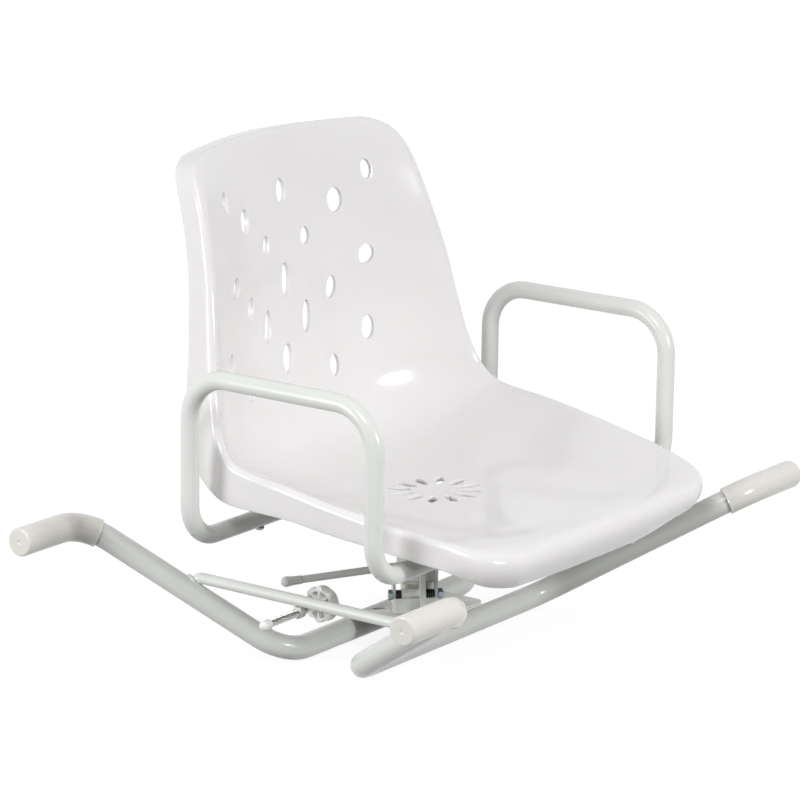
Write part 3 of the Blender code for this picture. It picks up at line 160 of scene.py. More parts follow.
BACK_SLOTS = [  # x, height over the pan's lowest place, width, length
    (0.0000, 0.2919, 0.0145, 0.0285),
    (0.0000, 0.1971, 0.0130, 0.0390),
    (0.0000, 0.1119, 0.0160, 0.0340),
    (0.0334, 0.2392, 0.0125, 0.0220),
    (0.0334, 0.1519, 0.0120, 0.0380),
    (0.0776, 0.2724, 0.0190, 0.0285),
    (0.0694, 0.1781, 0.0130, 0.0275),
    (0.0730, 0.0920, 0.0120, 0.0260),
    (0.1215, 0.3005, 0.0125, 0.0235),
    (0.1128, 0.2094, 0.0180, 0.0245),
    (0.1184, 0.1272, 0.0140, 0.0290),
]
ROSETTE_Y, ROSETTE_PETALS = -0.0224, 12
ROSETTE_OUTER_R, ROSETTE_INNER_R, PETAL_W = 0.052, 0.024, 0.011
SEAT_SCREW_X, SEAT_SCREW_R, SEAT_SCREW_HEAD, SEAT_SCREW_HEAD_R = 0.150, 0.0025, 0.0032, 0.005
BOSS_R, BOSS_BORE = 0.008, 0.0026

# Seat shell's mesh: its columns, its rows' distance at openings and elsewhere, the skirt's rings in its
# roll and below it, and how many rows and rounds even out the crease and the surface round the openings
SHELL_COLUMNS, ROW_TIGHT, ROW_WIDE = 150, 0.0024, 0.0045
ROLL_RINGS, DROP_RINGS = 8, 4
CREASE_ROWS, CREASE_ROUNDS = 3, 7
HOLE_ROWS, HOLE_ROUNDS = 4, 16
RIM_EASE, RIM_TANGENT = 0.007, 0.014  # how far to either side the rim is evened out and its way taken
COLLAR_SHARES = (0.9, 0.35)  # of the collar, on the next two rows from an opening

# The photograph's view: angles round, above and rolled, in degrees; then its target, distance and lens
VIEW_ANGLES = (-54.3, 14.2935, 0.8104)
VIEW_TARGET = Vector((0.0065, 0.0302, 0.2492))
VIEW_DISTANCE, VIEW_LENS = 4.1334, 177.588

# Light: each soft box's place, width and height, and power in watts; then the room and the floor
SOFT_BOXES = (("key_softbox", (-2.2, -0.9, 2.3), (0.9, 0.6), 24),
              ("side_softbox", (-2.3, 1.0, 0.6), (0.8, 1.2), 26),
              ("front_softbox", (0.1, -2.8, 1.15), (0.42, 0.32), 39))
BRIGHT_SIDE = (0.50, 0.62, 0.60)
ROOM_DIM, ROOM_DIM_SHEEN, ROOM_LEVEL, FLOOR_GLOW = 0.28, 0.50, 0.52, 0.89


# Materials ---------------------------------------------------------------------------------------

def linear(hex_colour):
    """An sRGB hex colour as the linear colour that a shader takes."""
    parts = [int(hex_colour[k:k + 2], 16) / 255 for k in (1, 3, 5)]
    return (*[c / 12.92 if c <= 0.04045 else ((c + 0.055) / 1.055) ** 2.4 for c in parts], 1)


def add(tree, kind, inputs=None, **settings):
    """Adds a node with its settings; an input is a plain value or the output that feeds it."""
    node = tree.nodes.new(kind)
    for name, value in settings.items():
        setattr(node, name, value)
    for name, value in (inputs or {}).items():
        if isinstance(value, bpy.types.NodeSocket):
            tree.links.new(value, node.inputs[name])
        else:
            node.inputs[name].default_value = value
    return node


def reckon(tree, operation, first, second):
    """Adds a math node on two values or outputs."""
    return add(tree, "ShaderNodeMath", {0: first, 1: second}, operation=operation).outputs[0]


def finish(name, **constants):
    """A material with its node tree, its Principled shader and the piece's own coordinates."""
    made = bpy.data.materials.new(name)
    made.use_nodes = True
    tree = made.node_tree
    shader = tree.nodes["Principled BSDF"]
    for key, value in constants.items():
        shader.inputs[key.replace("_", " ")].default_value = value
    return made, tree, shader, add(tree, "ShaderNodeTexCoord").outputs["Object"]


def noise(tree, place, scale, detail):
    """Soft clouds from 0 to 1, about as many to the metre as their scale says."""
    return add(tree, "ShaderNodeTexNoise", {"Vector": place, "Scale": scale, "Detail": detail}).outputs[0]


def shade_between(tree, shader, factor, first, second):
    """Feeds the shader a colour that runs between two, by a factor from 0 to 1."""
    mixed = add(tree, "ShaderNodeMix", {"Factor": factor}, data_type="RGBA")
    mixed.inputs[6].default_value = linear(first)
    mixed.inputs[7].default_value = linear(second)
    tree.links.new(mixed.outputs[2], shader.inputs["Base Color"])


def relief(tree, shader, height, depth):
    """A bump of a real depth, in metres, on the shader."""
    bump = add(tree, "ShaderNodeBump", {"Height": height, "Distance": depth})
    tree.links.new(bump.outputs[0], shader.inputs["Normal"])


def surface(name, clouds, colours, rough=None, grain=None, **constants):
    """A finish whose colour, and roughness if given, follow soft clouds; its grain is a fine relief.

    Clouds are given by scale and detail, grain by scale, detail and depth.
    """
    made, tree, shader, place = finish(name, **constants)
    soft = noise(tree, place, *clouds)
    shade_between(tree, shader, soft, *colours)
    if rough:
        spread = add(tree, "ShaderNodeMapRange", {"Value": soft, "To Min": rough[0], "To Max": rough[1]})
        tree.links.new(spread.outputs[0], shader.inputs["Roughness"])
    if grain:
        relief(tree, shader, noise(tree, place, *grain[:2]), grain[2])
    return made


def natural_nylon():
    """Turned natural nylon bushes: ivory and waxy, with tool marks round the turned faces."""
    made, tree, shader, place = finish("natural_nylon_turned", IOR=1.53, Roughness=0.42)
    rings = add(tree, "ShaderNodeTexWave", {"Vector": place, "Scale": 160, "Distortion": 0.6},
                wave_type="BANDS", bands_direction="Z").outputs[1]
    shade_between(tree, shader, rings, "#DDD8C8", "#E6E1D3")
    relief(tree, shader, rings, 0.00003)
    return made


# Gloss white epoxy powder on steel, melted on in an oven: a cool white whose shine is broken a little by
# orange peel about 2 mm across, drawn deeper than life so that it shows
EPOXY = surface("white_epoxy_powder_coat", (18, 2), ("#E4E7E3", "#EBEDE9"), (0.20, 0.28), (450, 1, 0.00006),
                IOR=1.5)
# Polypropylene injected into a polished mould: a white gloss with slow waves from cooling, into which the
# light goes a little way
SEAT = surface("seat_polypropylene_gloss_moulded", (7, 2), ("#EDEBEB", "#F2F0F0"), (0.10, 0.16),
               (28, 0, 0.00012), IOR=1.49, Subsurface_Weight=0.35, Subsurface_Radius=(1.0, 0.95, 0.9),
               Subsurface_Scale=0.003)
# Hard nylon of the knobs, wall tips and lever ball: a clean white with a soft gloss, into which the light
# goes a few millimetres, so that its ribs and pockets stay pale
KNOB = surface("white_nylon_injection_moulded", (60, 2), ("#F3F2EE", "#F9F8F5"), (0.20, 0.28), IOR=1.53,
               Subsurface_Weight=0.3, Subsurface_Radius=(1.0, 1.0, 0.9), Subsurface_Scale=0.004)
# Soft vinyl grip sleeves, moulded in a lightly blasted tool: creamy white with a soft gloss, and a grain
# of about 0.5 mm drawn at 1 mm so that it shows
GRIP = surface("cream_soft_vinyl_moulded", (25, 2), ("#E3E0D9", "#EAE8E2"), (0.17, 0.25), (1000, 1, 0.00003),
               IOR=1.52)
# Bright nickel plate on a rolled screw: a mirror that goes from white to dark across its round
PLATED = surface("bright_plated_screw_steel", (90, 3), ("#ABAAA8", "#CCCBC9"), (0.12, 0.22), Metallic=1.0)
# Blue passivated zinc on bolts, nuts and washers: a dull blue-grey metal with faint mottling
ZINC = surface("blue_passivated_zinc_steel", (260, 3), ("#808B90", "#A2ACB0"), (0.30, 0.46),
               (260, 3, 0.00004), Metallic=1.0)
NYLON = natural_nylon()
# A black moulded acetal spacer: nearly black with a soft sheen
BLACK = surface("black_acetal_moulded", (500, 2), ("#131211", "#1C1B1A"), IOR=1.48, Roughness=0.45)
# Oil-tempered spring wire: dark brown-black with a thin line of shine and faint drawing marks
WIRE = surface("oil_tempered_spring_wire", (700, 2), ("#26211E", "#3A3430"), (0.28, 0.42), Metallic=1.0)


# Modelling by hand: what the pieces below are made with ------------------------------------------

def alone(piece):
    """Leaves one object selected and active."""
    bpy.ops.object.select_all(action="DESELECT")
    piece.select_set(True)
    bpy.context.view_layer.objects.active = piece


def begin(name, kind, **sizes):
    """A primitive at its size and place, with nothing else selected."""
    bpy.ops.object.select_all(action="DESELECT")
    getattr(bpy.ops.mesh, f"primitive_{kind}_add")(**sizes)
    bpy.context.object.name = name
    bpy.ops.object.transform_apply(location=True, rotation=True, scale=True)
    return bpy.context.object


def edit(piece):
    """Goes into edit mode with all of a piece selected."""
    alone(piece)
    bpy.ops.object.mode_set(mode="EDIT")
    bpy.ops.mesh.select_mode(type="VERT")
    take_all()


def done():
    """Leaves edit mode."""
    bpy.ops.object.mode_set(mode="OBJECT")


def pick(kind, test):
    """Selects the verts, edges or faces that pass a test, in edit mode, and nothing else."""
    bpy.ops.mesh.select_mode(type=kind[:-1].upper())
    bpy.ops.mesh.select_all(action="DESELECT")
    mesh = bpy.context.object.data
    bm = bmesh.from_edit_mesh(mesh)
    for part in getattr(bm, kind):
        if test(part):
            part.select_set(True)
    bm.select_flush_mode()
    bmesh.update_edit_mesh(mesh)


def take_all(merge=False):
    """Selects everything, in edit mode, and merges points that lie on each other if asked."""
    bpy.ops.mesh.select_all(action="SELECT")
    if merge:
        bpy.ops.mesh.remove_doubles(threshold=0.000001)


def from_point(name, start):
    """A piece that is one selected point as yet, in edit mode."""
    piece = begin(name, "plane", size=1)
    edit(piece)
    bpy.ops.mesh.merge(type="CENTER")
    bpy.ops.transform.translate(value=start)
    return piece


def resize(x, y, z, centre=(0, 0, 0)):
    """Stretches what is selected, about a centre."""
    bpy.ops.transform.resize(value=(x, y, z), center_override=centre)


def pull(move):
    """Extrudes what is selected."""
    bpy.ops.mesh.extrude_region_move(TRANSFORM_OT_translate={"value": move})


def spin(steps, angle, centre, axis):
    """Spins what is selected; with no window Blender turns the other way, so the axis is reversed."""
    bpy.ops.mesh.spin(steps=steps, angle=angle, center=centre, axis=-Vector(axis))


def outward():
    """Merges doubled points and turns all faces outward."""
    take_all(merge=True)
    bpy.ops.mesh.normals_make_consistent(inside=False)


def close_up():
    """Ends an edit with everything merged and facing outward."""
    outward()
    done()


def step(piece, kind, **settings):
    """Gives a piece a modifier and applies it."""
    alone(piece)
    added = piece.modifiers.new("step", kind)
    for key, value in settings.items():
        setattr(added, key, value)
    bpy.ops.object.modifier_apply(modifier=added.name)


def thicken(sheet, thickness, toward):
    """Gives a drawn sheet its thickness, on the side that looks away from a direction."""
    take_all(merge=True)
    done()
    facing = sum(f.normal.dot(toward) * f.area for f in sheet.data.polygons) > 0
    step(sheet, "SOLIDIFY", thickness=thickness, offset=-1 if facing else 1, use_even_offset=True)


def soften(piece, width, segments, angle):
    """Rounds a piece's edges that are sharper than an angle."""
    step(piece, "BEVEL", width=width, segments=segments, limit_method="ANGLE",
         angle_limit=radians(angle))


def cut(piece, tool, operation="DIFFERENCE"):
    """Cuts a tool out of a piece, or joins it on, and throws the tool away."""
    step(piece, "BOOLEAN", operation=operation, solver="EXACT", object=tool)
    bpy.data.objects.remove(tool, do_unlink=True)


def drill(piece, radius, depth, place=(0, 0, 0), turn=(0, 0, 0), sides=48):
    """Drills a round hole, its middle at a place."""
    cut(piece, begin("drill", "cylinder", vertices=sides, radius=radius, depth=depth, location=place,
                     rotation=turn))


def twin(piece, name):
    """A copy of a piece with a mesh of its own."""
    copy = piece.copy()
    copy.data = piece.data.copy()
    copy.name = name
    bpy.context.scene.collection.objects.link(copy)
    return copy


def place_at(piece, place):
    """Moves a piece's mesh by a matrix; its object goes to the origin."""
    alone(piece)
    piece.matrix_world = place @ piece.matrix_world
    bpy.ops.object.transform_apply(location=True, rotation=True, scale=True)


def together(name, pieces):
    """Joins pieces into one object."""
    bpy.ops.object.select_all(action="DESELECT")
    for piece in pieces:
        piece.select_set(True)
    bpy.context.view_layer.objects.active = pieces[0]
    bpy.ops.object.join()
    pieces[0].name = name
    return pieces[0]


def settle(piece, body, material, *nodes, smooth=35, place=Matrix()):
    """A finished piece: it goes to its place and gets its finish and its body; the CAD parts named by its
    nodes are hidden.
    """
    place_at(piece, place)
    bpy.ops.object.shade_smooth_by_angle(angle=radians(smooth))
    piece.data.materials.clear()
    piece.data.materials.append(material)
    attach(piece, body)
    if nodes:
        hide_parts(*nodes)


def turned(name, profile, sides=48):
    """A turned piece on the Z axis: its (distance, radius) profile is drawn point by point and spun.

    A profile that doesn't start on the axis is closed into a ring.
    """
    points = profile + (profile[:1] if profile[0][1] > 0 else [])
    piece = from_point(name, (points[0][1], 0, points[0][0]))
    for (low, inner), (high, outer) in zip(points, points[1:]):
        pull((outer - inner, 0, high - low))
    take_all()
    spin(sides, 2 * pi, (0, 0, 0), UP)
    close_up()
    return piece


def barrel(low, high, outer, inner=0, first=0, last=0):
    """The profile of a round bar or sleeve, with a chamfer at either end."""
    points = [(low, inner), (low, outer - first), (low + first, outer), (high - last, outer),
              (high, outer - last), (high, inner)]
    return [p for k, p in enumerate(points) if k == 0 or p != points[k - 1]]


def dome(radius, count):
    """The profile of a ball, from its tip round by 7.5 degrees a step."""
    return [(radius - radius * cos(a), radius * sin(a))
            for a in [radians(7.5 * k) for k in range(count)]]


def along_line(start, ahead):
    """The matrix that lays the Z axis along a direction, from a start."""
    return Matrix.Translation(start) @ Vector(ahead).to_track_quat("Z", "Y").to_matrix().to_4x4()


def bent_tube(name, corners, bends, radius, sides=48, steps=14, last_share=1.0):
    """A closed round bar: a disc pulled along each straight run and spun round each bend.

    With a last_share under 1 it stops in its last bend; its end's place and direction come back too.
    """
    points = [Vector(c) for c in corners]
    ahead = (points[1] - points[0]).normalized()
    turn = ahead.to_track_quat("Z", "Y").to_euler()
    tube = begin(name, "circle", vertices=sides, radius=radius, fill_type="NGON", location=points[0],
                 rotation=turn)
    edit(tube)
    here = points[0]
    for k, corner in enumerate(points[1:-1]):
        after = (points[k + 2] - corner).normalized()
        angle = ahead.angle(after)
        axis = ahead.cross(after).normalized()
        begins = corner - ahead * bends[k] * tan(angle / 2)
        centre = begins + axis.cross(ahead) * bends[k]
        pull(begins - here)
        if last_share < 1 and k == len(points) - 3:
            angle *= last_share
            after = Matrix.Rotation(angle, 3, axis) @ ahead
        spin(steps, angle, centre, axis)
        here = centre + Matrix.Rotation(angle, 3, axis) @ (begins - centre)
        ahead = after
    if last_share == 1:
        pull(points[-1] - here)
        here = points[-1]
    done()
    return tube, here, ahead


def hexagon(name, across, height, bore=0):
    """A bolt head or bored nut on the Z axis, its corners turned off at the top."""
    head = begin(name, "cylinder", vertices=6, radius=across / sqrt(3), depth=height,
                 location=(0, 0, height / 2))
    corner = across / sqrt(3) + 0.0001
    flat = across / 2 * 0.98
    drop = (corner - flat) * tan(radians(30)) * 0.8
    tool = turned("chamfer", [(-0.001, 0), (-0.001, corner), (height - drop, corner), (height, flat),
                              (height, 0)])
    cut(head, tool, "INTERSECT")
    if bore:
        drill(head, bore, 0.04, sides=32)
    soften(head, 0.00015, 2, 25)
    return head


def bolt(name, across, height, length, radius):
    """A hexagon bolt on the Z axis: its head stands on 0 and its shank hangs down."""
    shank = turned("shank", barrel(-length, 0.0005, radius, first=0.0006))
    return together(name, [hexagon(name, across, height), shank])


def bead(points, radius, closed=True, name="weld"):
    """A weld bead: a rippled round line through points."""
    line = bpy.data.curves.new(name, "CURVE")
    line.dimensions = "3D"
    line.bevel_depth = radius
    line.bevel_resolution = 3
    line.use_fill_caps = not closed
    spline = line.splines.new("POLY")
    spline.points.add(len(points) - 1)
    spline.use_cyclic_u = closed
    for k, (spot, point) in enumerate(zip(spline.points, points)):
        spot.co = (*point, 1)
        spot.radius = 1 + 0.17 * sin(k * 1.9) + 0.08 * sin(k * 0.53)
    made = bpy.data.objects.new(name, line)
    bpy.context.scene.collection.objects.link(made)
    alone(made)
    bpy.ops.object.convert(target="MESH")
    line = bpy.context.object
    edit(line)
    close_up()
    return line


def seam(first, last, count, radius):
    """A straight weld bead."""
    return bead([Vector(first).lerp(Vector(last), k / count) for k in range(count + 1)], radius, False)


def ring(centre, axis, radius, count):
    """Points round a circle."""
    across = Vector(axis).orthogonal().normalized()
    return [Vector(centre) + Matrix.Rotation(2 * pi * k / count, 3, Vector(axis)) @ across * radius
            for k in range(count)]


# Rails, grips and cross rods ---------------------------------------------------------------------

def rail_corners(side, end):
    """A rail's centre line: rim run, slope, run on the bath's floor, slope, rim run."""
    half = [(end, side * RIM_Y, RIM_Z), (RIM_X, side * RIM_Y, RIM_Z), (FOOT_X, side * FOOT_Y, RAIL_R)]
    return [(-x, y, z) for x, y, z in half] + half[::-1]


def make_rail(place, side):
    """A rail tube, its cut ends a little inside the grips' caps."""
    rail, _, _ = bent_tube(f"rail_tube_{place}", rail_corners(side, END_X - 0.0038), [RAIL_BEND] * 4, RAIL_R)
    soften(rail, 0.0008, 2, 60)
    settle(rail, "frame", EPOXY, f"rail_{place}", smooth=30)


def make_grip(place, side, end):
    """A vinyl sleeve: a cap with a tight round edge and a small dimple, and a snug mouth."""
    corners = [(end * x, y, z) for x, y, z in rail_corners(side, END_X)[:2:-1]]
    outer = RAIL_R + GAP + GRIP_WALL
    sleeve, mouth, ahead = bent_tube(f"grip_sleeve_{place}", corners, [RAIL_BEND], outer,
                                     last_share=GRIP_BEND_SHARE)
    cap_x, inward = corners[0][0], Vector((-end, 0, 0))
    edit(sleeve)
    pick("faces", lambda f: len(f.verts) > 8 and (f.calc_center_median() - mouth).length < 0.002)
    bpy.ops.mesh.delete(type="ONLY_FACE")
    pick("verts", lambda v: (v.co - mouth).length < outer + 0.0002
         and abs((v.co - mouth).dot(ahead)) < 0.0001)
    for reach, share in ((0.0008, 0.3), (0.0006, 0.7)):
        pull(ahead * reach)
        mouth = mouth + ahead * reach
        resize(*[1 + share * GRIP_FLARE / outer] * 3, mouth)
    pick("edges", lambda e: all(abs(v.co.x - cap_x) < 0.00001 for v in e.verts))
    bpy.ops.mesh.bevel(offset=GRIP_EDGE, segments=7)
    pick("faces", lambda f: len(f.verts) > 8 and abs(f.calc_center_median().x - cap_x) < 0.0001)
    for thickness in (0.0005, outer - GRIP_EDGE - GRIP_DIMPLE - 0.0011, 0.0006):
        bpy.ops.mesh.inset(thickness=thickness)
    for drop in (0.0002, 0.0003):
        bpy.ops.mesh.inset(thickness=0.0003)
        bpy.ops.transform.translate(value=inward * drop)
    done()
    step(sleeve, "SOLIDIFY", thickness=GRIP_WALL, offset=-1, use_even_offset=True)
    soften(sleeve, 0.0006, 3, 60)
    settle(sleeve, "frame", GRIP, f"grip_{place}", smooth=50)


def meets(start, ahead, point, line, radius):
    """How far from a start, along a direction, the surface of a round bar is."""
    offset, slope = start - point, ahead - line * ahead.dot(line)
    offset = offset - line * offset.dot(line)
    a, b, c = slope.dot(slope), offset.dot(slope), offset.dot(offset) - radius ** 2
    return (-b - sqrt(max(b * b - a * c, 0))) / a


def make_rod(place, side):
    """A cross rod bent down onto both rails and welded to their flanks."""
    end = Vector((side * ROD_END_X, -ROD_TURN_Y, ROD_END_Z))
    turn = Vector((side * ROD_X, -ROD_TURN_Y, ROD_Z))
    flip = Vector((1, -1, 1))
    corners = [end, turn, turn * flip, end * flip]
    rod, _, _ = bent_tube(f"cross_bar_{place}", corners, [ROD_BEND] * 2, ROD_R, 32, 10)
    beads = []
    for rail_side in (-1, 1):
        tool, _, _ = bent_tube("rail_copy", rail_corners(rail_side, END_X), [RAIL_BEND] * 4, RAIL_R + 0.0001)
        cut(rod, tool)
        slope = Vector((side * (RIM_X - FOOT_X), rail_side * (RIM_Y - FOOT_Y), RIM_Z - RAIL_R)).normalized()
        foot = Vector((end.x, rail_side * ROD_TURN_Y, end.z))
        above = Vector((turn.x, rail_side * ROD_TURN_Y, turn.z))
        down = (foot - above).normalized()
        points = [p + down * (meets(p, down, foot, slope, RAIL_R) - 0.0002)
                  for p in ring(above, down, ROD_R + 0.0006, 44)]
        beads.append(bead(points, ROD_WELD_R))
    settle(rod, "frame", EPOXY, f"cross_rod_{place}")
    return beads


# Clamps ------------------------------------------------------------------------------------------

def make_thread(name, length):
    """A rolled screw: a core with chamfered ends and one helical ridge sunk into it."""
    root = SCREW_R - THREAD_DEPTH
    core = turned(name, barrel(0, length, root, 0, 0.0006, 0.0006), 32)
    ridge = from_point("ridge", (root - 0.0002, 0, 0.001))
    for move in ((0, 0, 0.00095), (0.0006, 0, -0.0003), (0, 0, -0.00035), (-0.0006, 0, -0.0003)):
        pull(move)
    take_all(merge=True)
    done()
    turns = int((length - 0.003) / THREAD_PITCH)
    step(ridge, "SCREW", axis="Z", screw_offset=THREAD_PITCH, iterations=turns, steps=24, render_steps=24)
    edit(ridge)
    bpy.ops.mesh.fill_holes(sides=0)
    close_up()
    return together(name, [core, ridge])


def make_knob(name):
    """The lobed knob on the Z axis, hub up: eight scallops, eight pockets and a bored hub."""
    outer, thick, hub_r, hub = KNOB_D / 2, KNOB_THICKNESS, KNOB_HUB_D / 2, KNOB_HUB_LENGTH
    knob = turned(name, [(-thick, 0), (-thick, outer - 0.0068), (0.0006 - thick, outer - 0.0045),
                         (0.0018 - thick, outer - 0.0022), (0.0038 - thick, outer - 0.0007),
                         (0.006 - thick, outer), (-0.0012, outer - 0.0002), (-0.0003, outer - 0.0006),
                         (0, outer - 0.0014), (0, 0)], 96)
    angles = [pi / KNOB_LOBES * (2 * k + 1) for k in range(KNOB_LOBES)]
    reach = outer - KNOB_SCALLOP + KNOB_SCALLOP_R
    tools = [begin("scallop", "cylinder", vertices=48, radius=KNOB_SCALLOP_R, depth=0.04,
                   location=(cos(a) * reach, sin(a) * reach, 0)) for a in angles]
    cut(knob, together("scallops", tools))
    near, far = hub_r + 0.0009, outer - KNOB_SCALLOP - KNOB_RIB
    middle = (near + far) / 2
    span = 2 * pi / KNOB_LOBES - KNOB_RIB / middle
    pocket = begin("pocket", "plane", size=1, location=(middle, 0, 0), rotation=(pi / 2, 0, 0))
    edit(pocket)
    resize(far - near, 1, 2 * KNOB_POCKET, (middle, 0, 0))
    spin(9, span, (0, 0, 0), UP)
    close_up()
    pockets = [twin(pocket, "pocket") for _ in angles[1:]] + [pocket]
    for tool, angle in zip(pockets, angles):
        place_at(tool, Matrix.Rotation(angle - span / 2, 4, "Z"))
    cut(knob, together("pockets", pockets))
    cut(knob, turned("hub", [(-0.004, 0), (-0.004, hub_r), (hub - 0.003, hub_r - 0.0002),
                             (hub - 0.0012, hub_r - 0.0008), (hub - 0.0003, hub_r - 0.0019), (hub, 0.0043),
                             (hub, 0)]), "UNION")
    deep = KNOB_BORE + GAP
    drill(knob, SCREW_R + GAP, deep, (0, 0, hub + 0.0001 - deep / 2), sides=32)
    edit(knob)
    bpy.ops.mesh.remove_doubles(threshold=0.00002)
    bpy.ops.mesh.dissolve_limited(angle_limit=radians(0.5))
    bpy.ops.mesh.normals_make_consistent(inside=False)
    done()
    soften(knob, 0.0005, 3, 30)
    return knob


def make_clamp(place, side):
    """Weld nut, rolled screw, lobed knob and the soft tip that presses on the bath's wall."""
    def at(x, way=1):
        """Lays the Z axis on the clamp's, from an x outward, or inward."""
        return along_line((side * x, 0, CLAMP_Z), (side * way, 0, 0))

    outer, bore = NUT_D / 2, SCREW_R + GAP
    nut = turned(f"weld_nut_{place}", barrel(0, NUT_LENGTH, outer, bore, 0.0007, 0.0007))
    settle(nut, "frame", EPOXY, f"clamp_nut_{place}", place=at(ROD_X - NUT_LENGTH / 2))
    begins, ends = KNOB_FACE_X + KNOB_HUB_LENGTH - KNOB_BORE, TIP_OUT_X - TIP_LENGTH + TIP_SOCKET
    screw = make_thread(f"clamp_spindle_{place}", ends - begins)
    body = f"clamp_screw_{place}"
    settle(screw, body, PLATED, f"clamp_screw_{place}", smooth=40, place=at(begins))
    knob = make_knob(f"clamp_handwheel_{place}")
    settle(knob, body, KNOB, f"clamp_knob_{place}", smooth=40, place=at(KNOB_FACE_X))
    radius, floor = TIP_D / 2, TIP_LENGTH - TIP_SOCKET - GAP
    profile = dome(radius, 13) + [(TIP_LENGTH - 0.0012, radius), (TIP_LENGTH - 0.0004, radius - 0.0003)]
    profile += [(TIP_LENGTH, radius - 0.0009), (TIP_LENGTH, bore), (floor, bore), (floor, 0)]
    tip = turned(f"wall_tip_{place}", profile)
    settle(tip, f"clamp_tip_{place}", KNOB, f"clamp_tip_{place}", place=at(TIP_OUT_X, -1))
    first, last, under = side * (ROD_X - 0.0035), side * (ROD_X + 0.0035), CLAMP_Z + outer - 0.0008
    return [seam((first, y, under), (last, y, under), 10, SEAM_R) for y in (-0.0032, 0.0032)]


# Base plate and swivel ---------------------------------------------------------------------------

def make_base_plate():
    """The plate across both rails' floor runs: rounded corners, a drain and four index slots."""
    plate = begin("index_plate", "plane", size=1, location=(0, 0, PLATE_LOW_Z))
    edit(plate)
    resize(PLATE_X, PLATE_Y, 1, (0, 0, PLATE_LOW_Z))
    bpy.ops.mesh.bevel(offset=PLATE_CORNER, segments=8, affect="VERTICES")
    take_all()
    pull((0, 0, PLATE_TOP_Z - PLATE_LOW_Z))
    close_up()
    swing = (PIVOT_Z - PLATE_TOP_Z + LATCH_DEPTH) * sin(LOCK_OPEN)
    near, far = PIVOT_R + LATCH_IN - 0.0004, PIVOT_R + LATCH_OUT + swing + 0.0004
    for k in range(4):
        slot = begin("slot", "cube", size=1)
        edit(slot)
        resize(far - near, INDEX_SLOT_W, 0.02)
        bpy.ops.transform.translate(value=((near + far) / 2, 0, PLATE_LOW_Z))
        pick("edges", lambda e: abs(e.verts[0].co.z - e.verts[1].co.z) > 0.01)
        bpy.ops.mesh.bevel(offset=0.001, segments=4)
        done()
        place_at(slot, Matrix.Rotation(LOCK_ANGLE + pi / 2 * k, 4, "Z"))
        cut(plate, slot)
    drill(plate, PLATE_DRAIN_R, 0.03, (0, 0, PLATE_LOW_Z))
    soften(plate, 0.0007, 3, 40)
    settle(plate, "frame", EPOXY, "base_plate")
    reach, z = PLATE_X / 2 - 0.010, PLATE_LOW_Z + 0.0011
    beads = [seam((-reach, y, z), (reach, y, z), 90, SEAM_R)
             for y in (-PLATE_Y / 2 - 0.0006, PLATE_Y / 2 + 0.0006)]
    return beads + [bead(ring((0, 0, PLATE_TOP_Z + 0.0009), UP, POST_R + 0.0006, 90), POST_WELD_R)]


def make_swivel():
    """The fixed post, and the hub sleeve that turns on it with its nylon bush."""
    profile = barrel(PLATE_TOP_Z + GAP, POST_TOP_Z, POST_R, POST_R - POST_WALL, 0, 0.0008)
    settle(turned("post_tube", profile, 96), "frame", EPOXY, "swivel_post")
    bore = HUB_R - HUB_WALL
    profile = barrel(HUB_LOW_Z, HUB_TOP_Z, HUB_R, bore, 0.0007)
    settle(turned("hub_sleeve", profile, 96), "seat", EPOXY, "swivel_hub")
    inner, outer, low = POST_R + GAP, bore - GAP, HUB_LOW_Z - GAP - BUSH_FLANGE
    flange, top = low + BUSH_FLANGE, low + BUSH_LENGTH
    bush = turned("flanged_bush", [(low, inner), (low, HUB_R - 0.0005), (low + 0.0005, HUB_R),
                                   (flange - 0.0004, HUB_R), (flange, HUB_R - 0.0004), (flange, outer),
                                   (top, outer), (top, inner)], 96)
    settle(bush, "frame", NYLON, "bush_lower")


def make_turning_plate():
    """The plate under the seat's tubes, its long edges folded down and their corners rounded."""
    front, rear = ARM_FRONT_Y - ARM_D / 2 - TURN_MARGIN, ARM_REAR_Y + ARM_D / 2 + TURN_MARGIN
    half, edge = TURN_X / 2, TURN_TOP_Z - TURN_FLANGE
    plate = from_point("turning_plate", (-half, front, edge))
    pull((0, rear - front, 0))
    take_all()
    pull((0, 0, TURN_FLANGE - TURN_BEND))
    spin(8, pi / 2, (-half + TURN_BEND, 0, TURN_TOP_Z - TURN_BEND), (0, 1, 0))
    pull((TURN_X - 2 * TURN_BEND, 0, 0))
    spin(8, pi / 2, (half - TURN_BEND, 0, TURN_TOP_Z - TURN_BEND), (0, 1, 0))
    pull((0, 0, TURN_BEND - TURN_FLANGE))
    thicken(plate, SHEET, UP)
    edit(plate)
    pick("edges", lambda e: e.calc_length() < 2 * SHEET and all(
        abs(v.co.z - edge) < 0.00001 and not front + 0.00001 < v.co.y < rear - 0.00001 for v in e.verts))
    bpy.ops.mesh.bevel(offset=0.007, segments=7)
    close_up()
    drill(plate, TURN_HOLE_R, 0.03, (0, 0, TURN_TOP_Z))
    soften(plate, 0.0006, 3, 50)
    settle(plate, "seat", EPOXY, "turn_plate")


def make_king_bolt():
    """The king bolt and its washer on the turning plate, and the bead that holds the hub to the plate."""
    low = TURN_TOP_Z + GAP
    high, seat = low + KING_WASHER, low + KING_WASHER + GAP
    washer = turned("king_disc", barrel(low, high, KING_WASHER_R, KING_R + GAP, 0.0003, 0.0003), 64)
    settle(washer, "frame", ZINC, "king_washer")
    pin = bolt("king_pin", KING_HEX, KING_HEAD, seat - (POST_TOP_Z - KING_DEEP), KING_R)
    settle(pin, "frame", ZINC, "king_bolt", place=Matrix.Translation((0, 0, seat)))
    points = ring((0, 0, HUB_TOP_Z - 0.0010), UP, HUB_R + 0.0007, 90)
    settle(bead(points, POST_WELD_R, name="hub_weld"), "seat", EPOXY, smooth=60)


